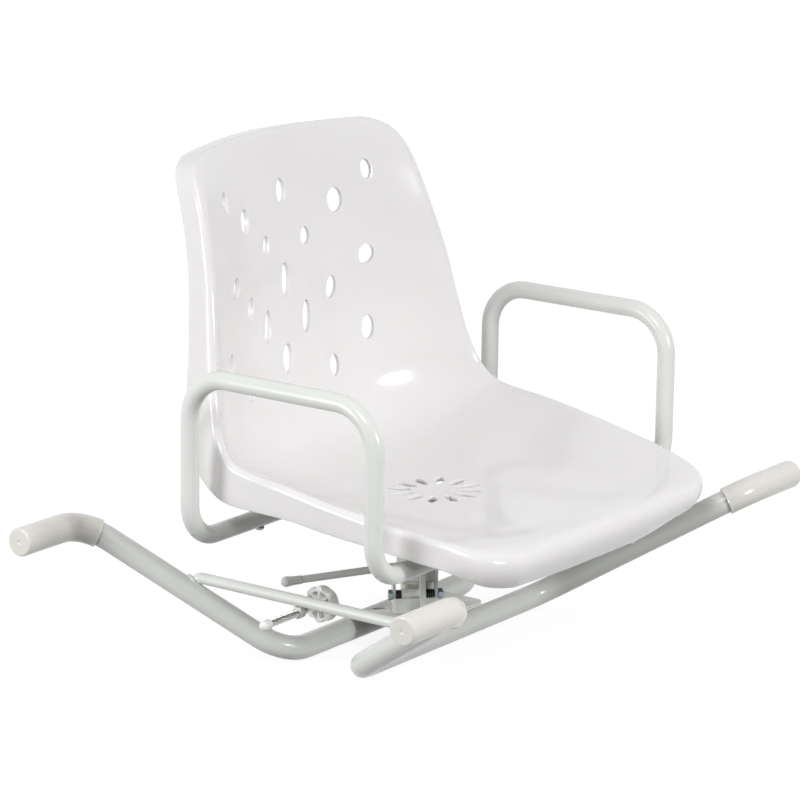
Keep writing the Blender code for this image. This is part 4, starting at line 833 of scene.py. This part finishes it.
# Lock --------------------------------------------------------------------------------------------

def drawn(name, outline, thickness):
    """A blank drawn point by point in X and Y, with its thickness up Z."""
    blank = from_point(name, (*outline[0], 0))
    for first, second in zip(outline, outline[1:] + outline[:1]):
        pull((second[0] - first[0], second[1] - first[1], 0))
    take_all(merge=True)
    bpy.ops.mesh.edge_face_add()
    pull((0, 0, thickness))
    close_up()
    return blank


def arc(centre, radius, first, last, steps):
    """Points along an arc, between two angles in degrees."""
    return [(centre[0] + radius * cos(a), centre[1] + radius * sin(a))
            for a in [radians(first + (last - first) * k / steps) for k in range(steps + 1)]]


def make_bracket():
    """The lock's folded strip, in a frame with X outward: front strap, low left and tall right wall."""
    low, corner = BRACKET_LOW_Z, BRACKET_FRONT - BRACKET_BEND
    right, left, reach = BRACKET_RIGHT, -BRACKET_LEFT, corner - BRACKET_BACK
    strip = from_point("lock_cheeks", (BRACKET_BACK, left, low))
    pull((0, 0, STRAP_TOP_Z - low))
    take_all()
    pull((reach, 0, 0))
    spin(8, pi / 2, (corner, left + BRACKET_BEND, 0), UP)
    pull((0, right - left - 2 * BRACKET_BEND, 0))
    spin(8, pi / 2, (corner, right - BRACKET_BEND, 0), UP)
    pull((-reach, 0, 0))
    for wall, top in ((left, LEFT_WALL_Z), (right, HUB_TOP_Z)):
        pick("edges", lambda e: all(abs(v.co.y - wall) < 0.00001 and abs(v.co.z - STRAP_TOP_Z) < 0.00001
                                    and v.co.x < corner + 0.00001 for v in e.verts))
        pull((0, 0, top - STRAP_TOP_Z))
    thicken(strip, BRACKET_SHEET, Vector((1, 0, 0)))
    edit(strip)
    pick("edges", lambda e: abs(e.verts[0].co.y - e.verts[1].co.y) > BRACKET_SHEET - 0.0001
         and e.calc_length() < BRACKET_SHEET + 0.0001 and abs(e.verts[0].co.z - LEFT_WALL_Z) < 0.0001)
    bpy.ops.mesh.bevel(offset=0.003, segments=5)
    close_up()
    drill(strip, PIN_R + GAP, 0.12, (PIVOT_R, 0, PIVOT_Z), (pi / 2, 0, 0), 32)
    soften(strip, 0.0005, 3, 50)
    settle(strip, "seat", EPOXY, "lock_bracket", place=Matrix.Rotation(LOCK_ANGLE, 4, "Z"))


def make_pivot():
    """The lock's pivot bolt, nut and black spacer."""
    left, right, bore = BRACKET_LEFT + GAP, BRACKET_RIGHT + GAP, PIN_R + GAP
    pin = bolt("lock_pin", PIN_HEX, 0.004, left + right + PIN_NUT + 0.0015, PIN_R)
    settle(pin, "seat", ZINC, "lock_pivot_bolt", place=PIVOT @ along_line(ALONG * left, ALONG))
    nut = hexagon("lock_pin_nut", PIN_HEX, PIN_NUT, bore)
    settle(nut, "seat", ZINC, "lock_pivot_nut", place=PIVOT @ along_line(ALONG * -right, -ALONG))
    first, last = LATCH_THICKNESS / 2 + BARREL_LENGTH + GAP, BRACKET_LEFT - BRACKET_SHEET - GAP
    spacer = turned("lock_collar", barrel(0, last - first, 0.005, bore, 0.0004, 0.0004))
    settle(spacer, "seat", BLACK, "lock_spacer", place=PIVOT @ along_line(ALONG * first, ALONG))


def make_latch():
    """Latch bar with its eye and barrel, lever rod and ball cap, turned to the open stop."""
    pivot = PIVOT @ Matrix.Rotation(LOCK_OPEN, 4, ALONG)
    half, tooth, edge = LATCH_THICKNESS / 2, PLATE_TOP_Z - LATCH_DEPTH - PIVOT_Z, 0.001
    strap, top = STRAP_TOP_Z + 2 * GAP - PIVOT_Z, LEVER_Z - PIVOT_Z
    middle, broad, corner = (LATCH_IN + LATCH_OUT) / 2, (LATCH_OUT - LATCH_IN) / 2, 0.004
    outline = [(LATCH_IN, tooth + edge), (LATCH_IN + edge, tooth), (LATCH_OUT - edge, tooth),
               (LATCH_OUT, tooth + edge)] + arc((middle, top), broad, 0, 180, 14)
    outline += arc((LATCH_IN - corner, LATCH_EYE_R + corner), corner, 0, -90, 6)
    outline += arc((0, 0), LATCH_EYE_R, 90, 360 + degrees(asin(strap / LATCH_EYE_R)), 24)
    latch = drawn("latch_bar", outline + [(LATCH_IN, strap)], LATCH_THICKNESS)
    place_at(latch, Matrix.Translation((0, 0, -half)))
    cut(latch, begin("eye", "cylinder", vertices=48, radius=LATCH_EYE_R, depth=half + BARREL_LENGTH,
                     location=(0, 0, (half + BARREL_LENGTH) / 2)), "UNION")
    drill(latch, PIN_R + GAP, 0.06, sides=32)
    soften(latch, 0.0006, 3, 50)
    settle(latch, "latch", EPOXY, "lock_latch", place=pivot @ LOCK_AXES)

    ahead = ALONG * cos(LEVER_DROOP) - UP * sin(LEVER_DROOP)
    start = OUTWARD * middle + UP * top + ahead * (half + GAP + LEVER_R * sin(LEVER_DROOP))
    lever = turned("lock_lever_rod", barrel(0, LEVER_LENGTH, LEVER_R, last=0.0006), 32)
    settle(lever, "latch", EPOXY, "lock_lever", place=pivot @ along_line(start, ahead))
    ball, neck, bore = LEVER_BALL_D / 2, LEVER_R + 0.0007, LEVER_R + GAP
    profile = dome(ball, 16)
    waist = profile[-1]
    for k in range(1, 13):
        share = fade(0, 1, k / 12)
        profile.append((waist[0] + (LEVER_CAP_LENGTH - 0.0006 - waist[0]) * k / 12,
                        waist[1] + (neck - waist[1]) * share - 0.0003 * sin(pi * k / 12)))
    profile += [(LEVER_CAP_LENGTH, bore + 0.0002), (LEVER_CAP_LENGTH, bore), (ball, bore), (ball, 0)]
    cap = turned("lever_ball", profile)
    tip = start + ahead * (LEVER_LENGTH + ball + GAP)
    settle(cap, "latch", KNOB, "lock_lever_cap", place=pivot @ along_line(tip, -ahead))
    weld = bead(ring(start + ahead * 0.0004, ahead, LEVER_R + 0.0002, 40), 0.0011, name="lever_weld")
    settle(weld, "latch", EPOXY, smooth=60, place=pivot)


def make_spring():
    """The torsion spring: four turns round the pivot, a tail on the strap and a hook over the latch."""
    thick, first = WIRE_D / 2, -LATCH_THICKNESS / 2 - GAP - WIRE_D / 2 - 0.0002
    coil = begin("torsion_coil", "circle", vertices=12, radius=thick, rotation=(pi / 2, 0, 0),
                 location=(COIL_R, 0, first - COIL_TURNS * COIL_PITCH))
    place_at(coil, Matrix())
    step(coil, "SCREW", axis="Z", screw_offset=COIL_PITCH, iterations=COIL_TURNS, steps=32, render_steps=32)
    edit(coil)
    bpy.ops.mesh.fill_holes(sides=0)
    outward()
    pick("faces", lambda f: len(f.verts) > 8 and f.calc_center_median().z < first - 0.002)
    for move in COIL_TAIL:
        pull(move)
    pick("faces", lambda f: len(f.verts) > 8 and f.calc_center_median().z > first - 0.002)
    pull((-HOOK_LEAN * 0.4, HOOK_KNEE, 0))
    pull((-HOOK_LEAN * 0.6, HOOK_REACH - HOOK_KNEE - HOOK_BEND, 0))
    spin(8, pi / 2, (COIL_R - HOOK_LEAN, HOOK_REACH - HOOK_BEND, first + HOOK_BEND), (1, 0, 0))
    pull((0, 0, HOOK_RISE - HOOK_BEND))
    close_up()
    settle(coil, "seat", WIRE, "lock_spring", smooth=60, place=PIVOT @ LOCK_AXES)


# Armrests and seat screws ------------------------------------------------------------------------

def make_arm(place, side):
    """An armrest tube, bent down and in under the seat, with a drain hole in each low bend."""
    x, middle = side * ARM_X, side * GAP / 2
    corners = [(middle, ARM_REAR_Y, ARM_LOW_Z), (x, ARM_REAR_Y, ARM_LOW_Z), (x, ARM_REAR_Y, ARM_TOP_Z),
               (x, ARM_FRONT_Y, ARM_TOP_Z), (x, ARM_FRONT_Y, ARM_LOW_Z), (middle, ARM_FRONT_Y, ARM_LOW_Z)]
    bends = [ARM_LOW_BEND, ARM_TOP_BEND, ARM_TOP_BEND, ARM_LOW_BEND]
    tube, _, _ = bent_tube(f"arm_loop_{place}", corners, bends, ARM_D / 2, 48, 18)
    slant = Vector((side, 0, -1)).normalized()
    for y in (ARM_REAR_Y, ARM_FRONT_Y):
        bend = Vector((side * (ARM_X - ARM_LOW_BEND), y, ARM_LOW_Z + ARM_LOW_BEND)) + slant * ARM_LOW_BEND
        hole = begin("drill", "cylinder", vertices=24, radius=ARM_DRAIN_R, depth=0.008)
        place_at(hole, along_line(bend + slant * (ARM_D / 2 - 0.002), slant))
        cut(tube, hole)
    settle(tube, "seat", EPOXY, f"armrest_tube_{place}", smooth=30)


def make_seat_screws():
    """Four pan-head screws with cross recesses, up through the seat tubes into the bosses."""
    top, end = ARM_LOW_Z - ARM_D / 2 - GAP, ARM_LOW_Z + ARM_D / 2 + 0.0060
    face, outer, radius = top - SEAT_SCREW_HEAD, SEAT_SCREW_HEAD_R, SEAT_SCREW_R
    screw = turned("seat_bolt", [(face, 0), (face, 0.0018), (face + 0.0004, 0.0034), (face + 0.0013, 0.0046),
                                 (face + 0.0022, outer), (top, outer), (top, radius), (end - 0.002, radius),
                                 (end, 0.0012), (end, 0)])
    for turn in (0, pi / 2):
        wing = begin("recess", "cube", size=1, scale=(0.0050, 0.0009, 0.0034))
        edit(wing)
        pick("faces", lambda f: f.normal.z > 0.9)
        resize(0.4, 0.8, 1, (0, 0, 0.0017))
        done()
        place_at(wing, Matrix.Translation((0, 0, face + 0.0002)) @ Matrix.Rotation(turn, 4, "Z"))
        cut(screw, wing)
    for front_rear, y in (("front", ARM_FRONT_Y), ("rear", ARM_REAR_Y)):
        for right_left, side in SIDES:
            settle(twin(screw, f"seat_bolt_{front_rear}_{right_left}"), "seat", ZINC,
                   f"seat_screw_{front_rear}_{right_left}", smooth=30,
                   place=Matrix.Translation((side * SEAT_SCREW_X, y, 0)))
    bpy.data.objects.remove(screw, do_unlink=True)


# Seat shell --------------------------------------------------------------------------------------

def smooth_between(rows, share):
    """A point of a Catmull-Rom curve through number tuples, share from 0 to 1 by row."""
    place = share * (len(rows) - 1)
    k = min(int(place), len(rows) - 2)
    t = place - k
    a, b, c, d = (rows[min(max(k + j, 0), len(rows) - 1)] for j in (-1, 0, 1, 2))
    return tuple(0.5 * (2 * q + (r - p) * t + (2 * p - 5 * q + 4 * r - s) * t * t
                        + (3 * q - p - 3 * r + s) * t ** 3) for p, q, r, s in zip(a, b, c, d))


def fade(low, high, value):
    """0 below low, 1 above high and a smooth step between."""
    t = min(max((value - low) / (high - low), 0), 1)
    return t * t * (3 - 2 * t)


def shell_point(across, along):
    """A point of the seat's upper surface; across runs from -1 to 1, along from 0 to 1."""
    centre_y, centre_z, width, rim_y, rim_z = smooth_between(SHELL_ROWS, along)
    rise = abs(across) ** (PAN_CURVE + (BACK_CURVE - PAN_CURVE) * fade(0.14, 0.215, centre_z))
    y = centre_y + (rim_y - centre_y) * rise
    z = SEAT_LEVEL + centre_z + (rim_z - centre_z) * rise
    front = SHELL_ROWS[0][0]
    hollow = (1 - fade(-0.09, THIGH_BACK_Y, y)) * fade(front, front + 0.06, y)
    z -= THIGH_DIP * hollow * exp(-(((abs(across) - THIGH_SHARE) / THIGH_SPREAD) ** 2))
    return Vector((width * across, y, z))


def shell_down(along):
    """The way the skirt hangs: square to the seat's centre line, away from the sitter."""
    ahead = shell_point(0, min(along + 0.01, 1)) - shell_point(0, max(along - 0.01, 0))
    return Vector((0, ahead.z, -ahead.y)).normalized()


def skirt_sizes(point):
    """The rolled edge's radius, the skirt's depth and how far it curls in, at a place on the rim.

    It hangs deepest behind the hips, and the left front corner is pulled up a little, as in the photograph.
    """
    front = SHELL_ROWS[0][0]
    side = fade(front, front + 0.05, point.y)
    depth = SKIRT_FRONT + (SKIRT_THIGH - SKIRT_FRONT) * side
    depth += (SKIRT_HIP - SKIRT_THIGH) * fade(-0.12, -0.02, point.y)
    height = point.z - SEAT_LEVEL
    depth += (SKIRT_BACK - SKIRT_HIP) * fade(0.08, 0.18, height)
    upward = min(max((height - 0.08) / 0.20, 0), 1)
    depth += SKIRT_HIP_DROP * fade(0.047, 0.066, height) * (1 - upward) ** 1.7
    depth -= SKIRT_LIFT * (fade(0.05, 0.17, point.x) + 0.2 * fade(0.05, 0.17, -point.x)) * (1 - side)
    return SKIRT_FRONT_R + (SKIRT_SIDE_R - SKIRT_FRONT_R) * side, depth, SKIRT_CURL * (1 - side)


def shell_rows():
    """Row places along the seat's centre line: 2.4 mm apart where openings are, wider elsewhere."""
    count, places, gone = 3000, [0.0], 0.0
    before = shell_point(0, 0)
    for k in range(1, count + 1):
        here = shell_point(0, k / count)
        gone += (here - before).length
        before = here
        height = here.z - SEAT_LEVEL
        tight = (height < 0.02 and abs(here.y - ROSETTE_Y) < 0.060
                 or here.y > 0.15 and 0.072 < height < 0.325)
        if gone >= (ROW_TIGHT if tight else ROW_WIDE):
            places.append(k / count)
            gone = 0.0
    return places[:-1] + [1.0]


def shell_openings():
    """The ovals at the sitter's face: which plane they are drawn in, centre, turn, half width and length.

    The rounded edge runs on inward from there, by SLOT_EDGE or PETAL_EDGE, to the opening's wall.
    """
    ovals = []
    for x, height, width, length in BACK_SLOTS:
        for side in ((1,) if x == 0 else (-1, 1)):
            ovals.append((2, side * x, SEAT_LEVEL + height, 0.0, width / 2 + SLOT_EDGE, length / 2 - 0.0003))
    middle = (ROSETTE_OUTER_R + ROSETTE_INNER_R) / 2
    for k in range(ROSETTE_PETALS):
        angle = 2 * pi * k / ROSETTE_PETALS
        ovals.append((1, middle * cos(angle), ROSETTE_Y + middle * sin(angle), angle - pi / 2,
                      PETAL_W / 2 + 0.00035, (ROSETTE_OUTER_R - ROSETTE_INNER_R) / 2 + 0.00035))
    return ovals


def in_oval(point, oval):
    """A point in an oval's own frame: across and along it, and 1 on its outline."""
    plane, x, level, turn, half_width, half_length = oval
    dx, dl = point.x - x, point[plane] - level
    across = dx * cos(turn) + dl * sin(turn)
    along = dl * cos(turn) - dx * sin(turn)
    if (plane == 2) != (point.y > 0.06 and point.z > SEAT_LEVEL + 0.05):
        return across, along, 99
    return across, along, hypot(across / half_width, along / half_length)


def find_spot(x, level, plane, along):
    """The place on the seat's surface over an x and a level, from a place near it."""
    for _ in range(5):
        here = shell_point(x / smooth_between(SHELL_ROWS, along)[2], along)[plane]
        ahead = shell_point(x / smooth_between(SHELL_ROWS, along + 0.0005)[2], along + 0.0005)[plane]
        along += (level - here) * 0.0005 / (ahead - here)
    return x / smooth_between(SHELL_ROWS, along)[2], along


def open_shell(bm, spots, ovals):
    """Takes out the openings and draws the surface up to their outlines, spreading the shift around."""
    gone = []
    for face in bm.faces:
        centre = face.calc_center_median()
        if any(in_oval(centre, oval)[2] < 1 for oval in ovals):
            gone.append(face)
    bmesh.ops.delete(bm, geom=gone, context="FACES")
    shift = {}
    for vert in [v for v in bm.verts if v.is_boundary]:
        fit = min(((*in_oval(vert.co, oval), oval) for oval in ovals), key=lambda f: f[2])
        across, along, share, (plane, x, level, turn, _, _) = fit
        if share > 2:
            continue
        across, along = across / share, along / share
        target = (x + across * cos(turn) - along * sin(turn),
                  level + across * sin(turn) + along * cos(turn))
        old = spots[vert]
        new = find_spot(*target, plane, old[1])
        shift[vert] = (new[0] - old[0], new[1] - old[1])
    fixed = set(shift)
    near = set(fixed)
    for _ in range(HOLE_ROWS):
        near |= {e.other_vert(v) for v in near for e in v.link_edges}
    free = [v for v in bm.verts if v in near and v not in fixed and not v.is_boundary]
    for _ in range(HOLE_ROUNDS):
        for vert in free:
            others = [shift.get(e.other_vert(vert), (0, 0)) for e in vert.link_edges]
            shift[vert] = (sum(o[0] for o in others) / len(others), sum(o[1] for o in others) / len(others))
    for vert, (across, along) in shift.items():
        spots[vert] = (spots[vert][0] + across, spots[vert][1] + along)
        vert.co = shell_point(*spots[vert])
    return fixed


def hang_skirt(bm, spots):
    """Rolls the rim over and down all round, and rounds the crease where the roll begins."""
    def order(vert):
        """Where a point comes in the rim's round: front, left, back, right."""
        across, along = spots[vert]
        if along in (0, 1):
            return 4 - across if along else across
        return 1 + along if across > 0 else 6 - along

    loop = sorted((v for v in bm.verts if v.is_boundary
                   and (abs(spots[v][0]) == 1 or spots[v][1] in (0, 1))), key=order)
    count = len(loop)

    def beside(n, way, reach):
        """The rim's point a reach away, before or after."""
        here, gone = loop[n].co, 0.0
        while True:
            n = (n + way) % count
            step_long = (loop[n].co - here).length
            if gone + step_long >= reach:
                return here.lerp(loop[n].co, (reach - gone) / step_long)
            gone, here = gone + step_long, loop[n].co

    eased = [(beside(n, -1, RIM_EASE) + beside(n, 1, RIM_EASE) + 2 * loop[n].co) / 4
             for n in range(count)]
    tangents = [(beside(n, 1, RIM_TANGENT) - beside(n, -1, RIM_TANGENT)).normalized()
                for n in range(count)]
    for vert, place in zip(loop, eased):
        vert.co = place
    rings = [loop]
    for k in range(1, ROLL_RINGS + DROP_RINGS + 1):
        angle = radians(min(90 / ROLL_RINGS * k, 90))
        low = max(k - ROLL_RINGS, 0) / DROP_RINGS
        ring_verts = []
        for vert, along in zip(loop, tangents):
            down = shell_down(spots[vert][1])
            out = down.cross(along).normalized()
            radius, depth, curl = skirt_sizes(vert.co)
            reach = radius * sin(angle) - curl * low ** 2
            drop = radius * (1 - cos(angle)) + (depth - SHELL_WALL / 2 - radius) * low
            ring_verts.append(bm.verts.new(vert.co + out * reach + down * drop))
        rings.append(ring_verts)
    for upper, lower in zip(rings, rings[1:]):
        for n in range(count):
            m = (n + 1) % count
            bm.faces.new([upper[m], upper[n], lower[n], lower[m]])
    inner = set(loop)
    for _ in range(CREASE_ROWS):
        inner |= {e.other_vert(v) for v in inner for e in v.link_edges}
    inner = [v for v in bm.verts if v in inner and not v.is_boundary]
    for _ in range(CREASE_ROUNDS):
        eased = [sum((e.other_vert(v).co for e in v.link_edges), Vector()) / len(v.link_edges)
                 for v in inner]
        for vert, place in zip(inner, eased):
            vert.co = vert.co.lerp(place, 0.5)


def give_wall(bm, holes):
    """Gives the surface its wall below: a full round on its free edge, and straight walls in the openings.

    Behind each opening the wall is a little thicker, as a soft collar.
    """
    wall, steps = SHELL_WALL, 6
    bm.normal_update()
    extra, ringed = dict.fromkeys(holes, SLOT_COLLAR), set(holes)
    for share in COLLAR_SHARES:
        beyond = {e.other_vert(v) for v in ringed for e in v.link_edges} - ringed
        extra.update(dict.fromkeys(beyond, SLOT_COLLAR * share))
        ringed |= beyond
    top = list(bm.verts)
    faces = list(bm.faces)
    edges = [e for e in bm.edges if e.is_boundary]
    under = {v: bm.verts.new(v.co - v.normal * (wall + extra.get(v, 0))) for v in top}
    rounds = {}
    for vert in [v for v in top if v.is_boundary]:
        first, second = [e.other_vert(vert) for e in vert.link_edges if e.is_boundary][:2]
        side = vert.normal.cross(first.co - second.co).normalized()
        middle = sum((f.calc_center_median() for f in vert.link_faces), Vector()) / len(vert.link_faces)
        if side.dot(middle - vert.co) > 0:
            side = -side
        turns = [pi * k / steps for k in range(1, steps)]
        if vert in holes:
            radius = SLOT_EDGE if vert.co.z > SEAT_LEVEL + 0.05 else PETAL_EDGE
            deep = wall + SLOT_COLLAR
            turns = turns[:steps // 2] + turns[steps // 2 - 1:]
        else:
            radius, deep = wall / 2, wall
        places = [(radius * sin(a), radius * (1 - cos(a))) for a in turns]
        half = (len(places) + 1) // 2
        places = places[:half] + [(out, deep - 2 * radius + down) for out, down in places[half:]]
        rounds[vert] = [vert, *(bm.verts.new(vert.co + side * out - vert.normal * down)
                                for out, down in places), under[vert]]
    for face in faces:
        bm.faces.new([under[v] for v in reversed(face.verts)])
    for edge in edges:
        loop = edge.link_loops[0]
        first, second = rounds[loop.vert], rounds[loop.link_loop_next.vert]
        for k in range(len(first) - 1):
            bm.faces.new([second[k], first[k], first[k + 1], second[k + 1]])


def make_shell():
    """The moulded bucket: pan, back and rolled skirt in one wall, pierced, with four screw bosses."""
    rows, columns = shell_rows(), SHELL_COLUMNS
    seat = begin("seat_bucket", "grid", x_subdivisions=columns, y_subdivisions=len(rows) - 1, size=2)
    bm = bmesh.new()
    bm.from_mesh(seat.data)
    spots = {}
    for vert in bm.verts:
        across = round((vert.co.x + 1) / 2 * columns) * 2 / columns - 1
        spots[vert] = (across, rows[round((vert.co.y + 1) / 2 * (len(rows) - 1))])
        vert.co = shell_point(*spots[vert])
    holes = open_shell(bm, spots, shell_openings())
    hang_skirt(bm, spots)
    give_wall(bm, holes)
    bm.to_mesh(seat.data)
    bm.free()
    pieces = [seat]
    for x in (-SEAT_SCREW_X, SEAT_SCREW_X):
        for y in (ARM_FRONT_Y, ARM_REAR_Y):
            spot = find_spot(x, y, 1, 0.25)
            low, high = ARM_LOW_Z + ARM_D / 2 + GAP, shell_point(*spot).z - SHELL_WALL * 0.6
            boss = turned("boss", [(low, BOSS_BORE), (low, BOSS_R - 0.0006), (low + 0.0006, BOSS_R),
                                   (high - 0.004, BOSS_R + 0.0002), (high - 0.0015, BOSS_R + 0.0010),
                                   (high, BOSS_R + 0.0028), (high, BOSS_BORE)], 40)
            place_at(boss, Matrix.Translation((x, y, 0)))
            for vert in boss.data.vertices:
                if vert.co.z > high - 0.0045:
                    over = find_spot(vert.co.x, vert.co.y, 1, spot[1])
                    vert.co.z += shell_point(*over).z - shell_point(*spot).z
            pieces.append(boss)
    settle(together("seat_bucket", pieces), "seat", SEAT, "seat_shell", smooth=60)


# Camera, light and floor -------------------------------------------------------------------------

def place_camera():
    """The photograph's view: from the sitter's right front, a little above the seat."""
    around, above, roll = (radians(angle) for angle in VIEW_ANGLES)
    back = Vector((sin(around) * cos(above), -cos(around) * cos(above), sin(above)))
    level = UP.cross(back).normalized()
    upright = back.cross(level)
    right = level * cos(roll) + upright * sin(roll)
    up = upright * cos(roll) - level * sin(roll)
    bpy.ops.object.camera_add()
    camera = bpy.context.object
    turn = Matrix((right, up, back)).transposed().to_4x4()
    camera.matrix_world = Matrix.Translation(VIEW_TARGET + back * VIEW_DISTANCE) @ turn
    camera.data.sensor_width = 36
    camera.data.lens = VIEW_LENS
    camera.data.clip_end = 50
    bpy.context.scene.camera = camera


def add_light(name, place, size, power):
    """A soft box that faces the seat."""
    bpy.ops.object.light_add(type="AREA", location=place)
    light = bpy.context.object
    light.name = name
    aim = Vector((0, 0, 0.25)) - Vector(place)
    light.rotation_euler = aim.to_track_quat("-Z", "Y").to_euler()
    light.data.shape = "RECTANGLE"
    light.data.size, light.data.size_y = size
    light.data.energy = power


def light_room():
    """Soft boxes above and to the seat's right, and a pale room that is dim on the camera's side."""
    for name, place, size, power in SOFT_BOXES:
        add_light(name, place, size, power)
    world = bpy.data.worlds.new("studio")
    bpy.context.scene.world = world
    world.use_nodes = True
    tree = world.node_tree
    tree.nodes.clear()
    way = add(tree, "ShaderNodeTexCoord").outputs["Generated"]
    turn = add(tree, "ShaderNodeVectorMath", {0: way, 1: BRIGHT_SIDE}, operation="DOT_PRODUCT")
    level, sheen = (add(tree, "ShaderNodeMapRange", {
        "Value": turn.outputs["Value"], "From Min": -0.75, "From Max": 0.45, "To Min": low, "To Max": 1.0},
        interpolation_type="SMOOTHSTEP").outputs[0] for low in (ROOM_DIM, ROOM_DIM_SHEEN))
    path = add(tree, "ShaderNodeLightPath").outputs
    soft = reckon(tree, "MULTIPLY", level, ROOM_LEVEL)
    gloss = reckon(tree, "MULTIPLY", path["Is Glossy Ray"], sheen)
    bright = reckon(tree, "MAXIMUM", soft, gloss)
    seen = reckon(tree, "MAXIMUM", path["Is Camera Ray"], path["Is Transmission Ray"])
    strength = reckon(tree, "MAXIMUM", bright, seen)
    room = add(tree, "ShaderNodeBackground", {"Color": (1, 1, 1, 1), "Strength": strength})
    add(tree, "ShaderNodeOutputWorld", {"Surface": room.outputs[0]})


def lay_floor():
    """A white floor that keeps the seat's shadow."""
    bpy.ops.mesh.primitive_plane_add(size=30, location=(0, 0, -0.0005))
    floor = bpy.context.object
    floor.name = "floor"
    made = bpy.data.materials.new("white_floor")
    made.use_nodes = True
    tree = made.node_tree
    tree.nodes.clear()
    path = add(tree, "ShaderNodeLightPath").outputs
    seen = path["Is Camera Ray"]
    for other in ("Is Glossy Ray", "Is Transmission Ray"):
        seen = reckon(tree, "MAXIMUM", seen, path[other])
    glow = reckon(tree, "MULTIPLY", seen, FLOOR_GLOW)
    lit = add(tree, "ShaderNodeBsdfDiffuse", {"Color": linear("#828282")})
    glow = add(tree, "ShaderNodeEmission", {"Color": (1, 1, 1, 1), "Strength": glow})
    both = add(tree, "ShaderNodeAddShader", {0: lit.outputs[0], 1: glow.outputs[0]})
    add(tree, "ShaderNodeOutputMaterial", {"Surface": both.outputs[0]})
    floor.data.materials.append(made)


def main():
    bpy.context.scene.view_settings.view_transform = "Standard"
    for name, material in (("post_cap", ZINC), ("king_nut", ZINC), ("bush_upper", NYLON),
                           ("thrust_washer", NYLON)):
        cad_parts[name].data.materials.clear()
        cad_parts[name].data.materials.append(material)
    beads = []
    for place, side in ENDS:
        make_rail(place, side)
    for front_rear, side in ENDS:
        for right_left, end in SIDES:
            make_grip(f"{front_rear}_{right_left}", side, end)
    for place, side in SIDES:
        beads += make_rod(place, side)
        beads += make_clamp(place, side)
        make_arm(place, side)
    beads += make_base_plate()
    settle(together("frame_welds", beads), "frame", EPOXY, smooth=60)
    make_swivel()
    make_turning_plate()
    make_king_bolt()
    make_bracket()
    make_pivot()
    make_latch()
    make_spring()
    make_seat_screws()
    make_shell()
    place_camera()
    light_room()
    lay_floor()


main()
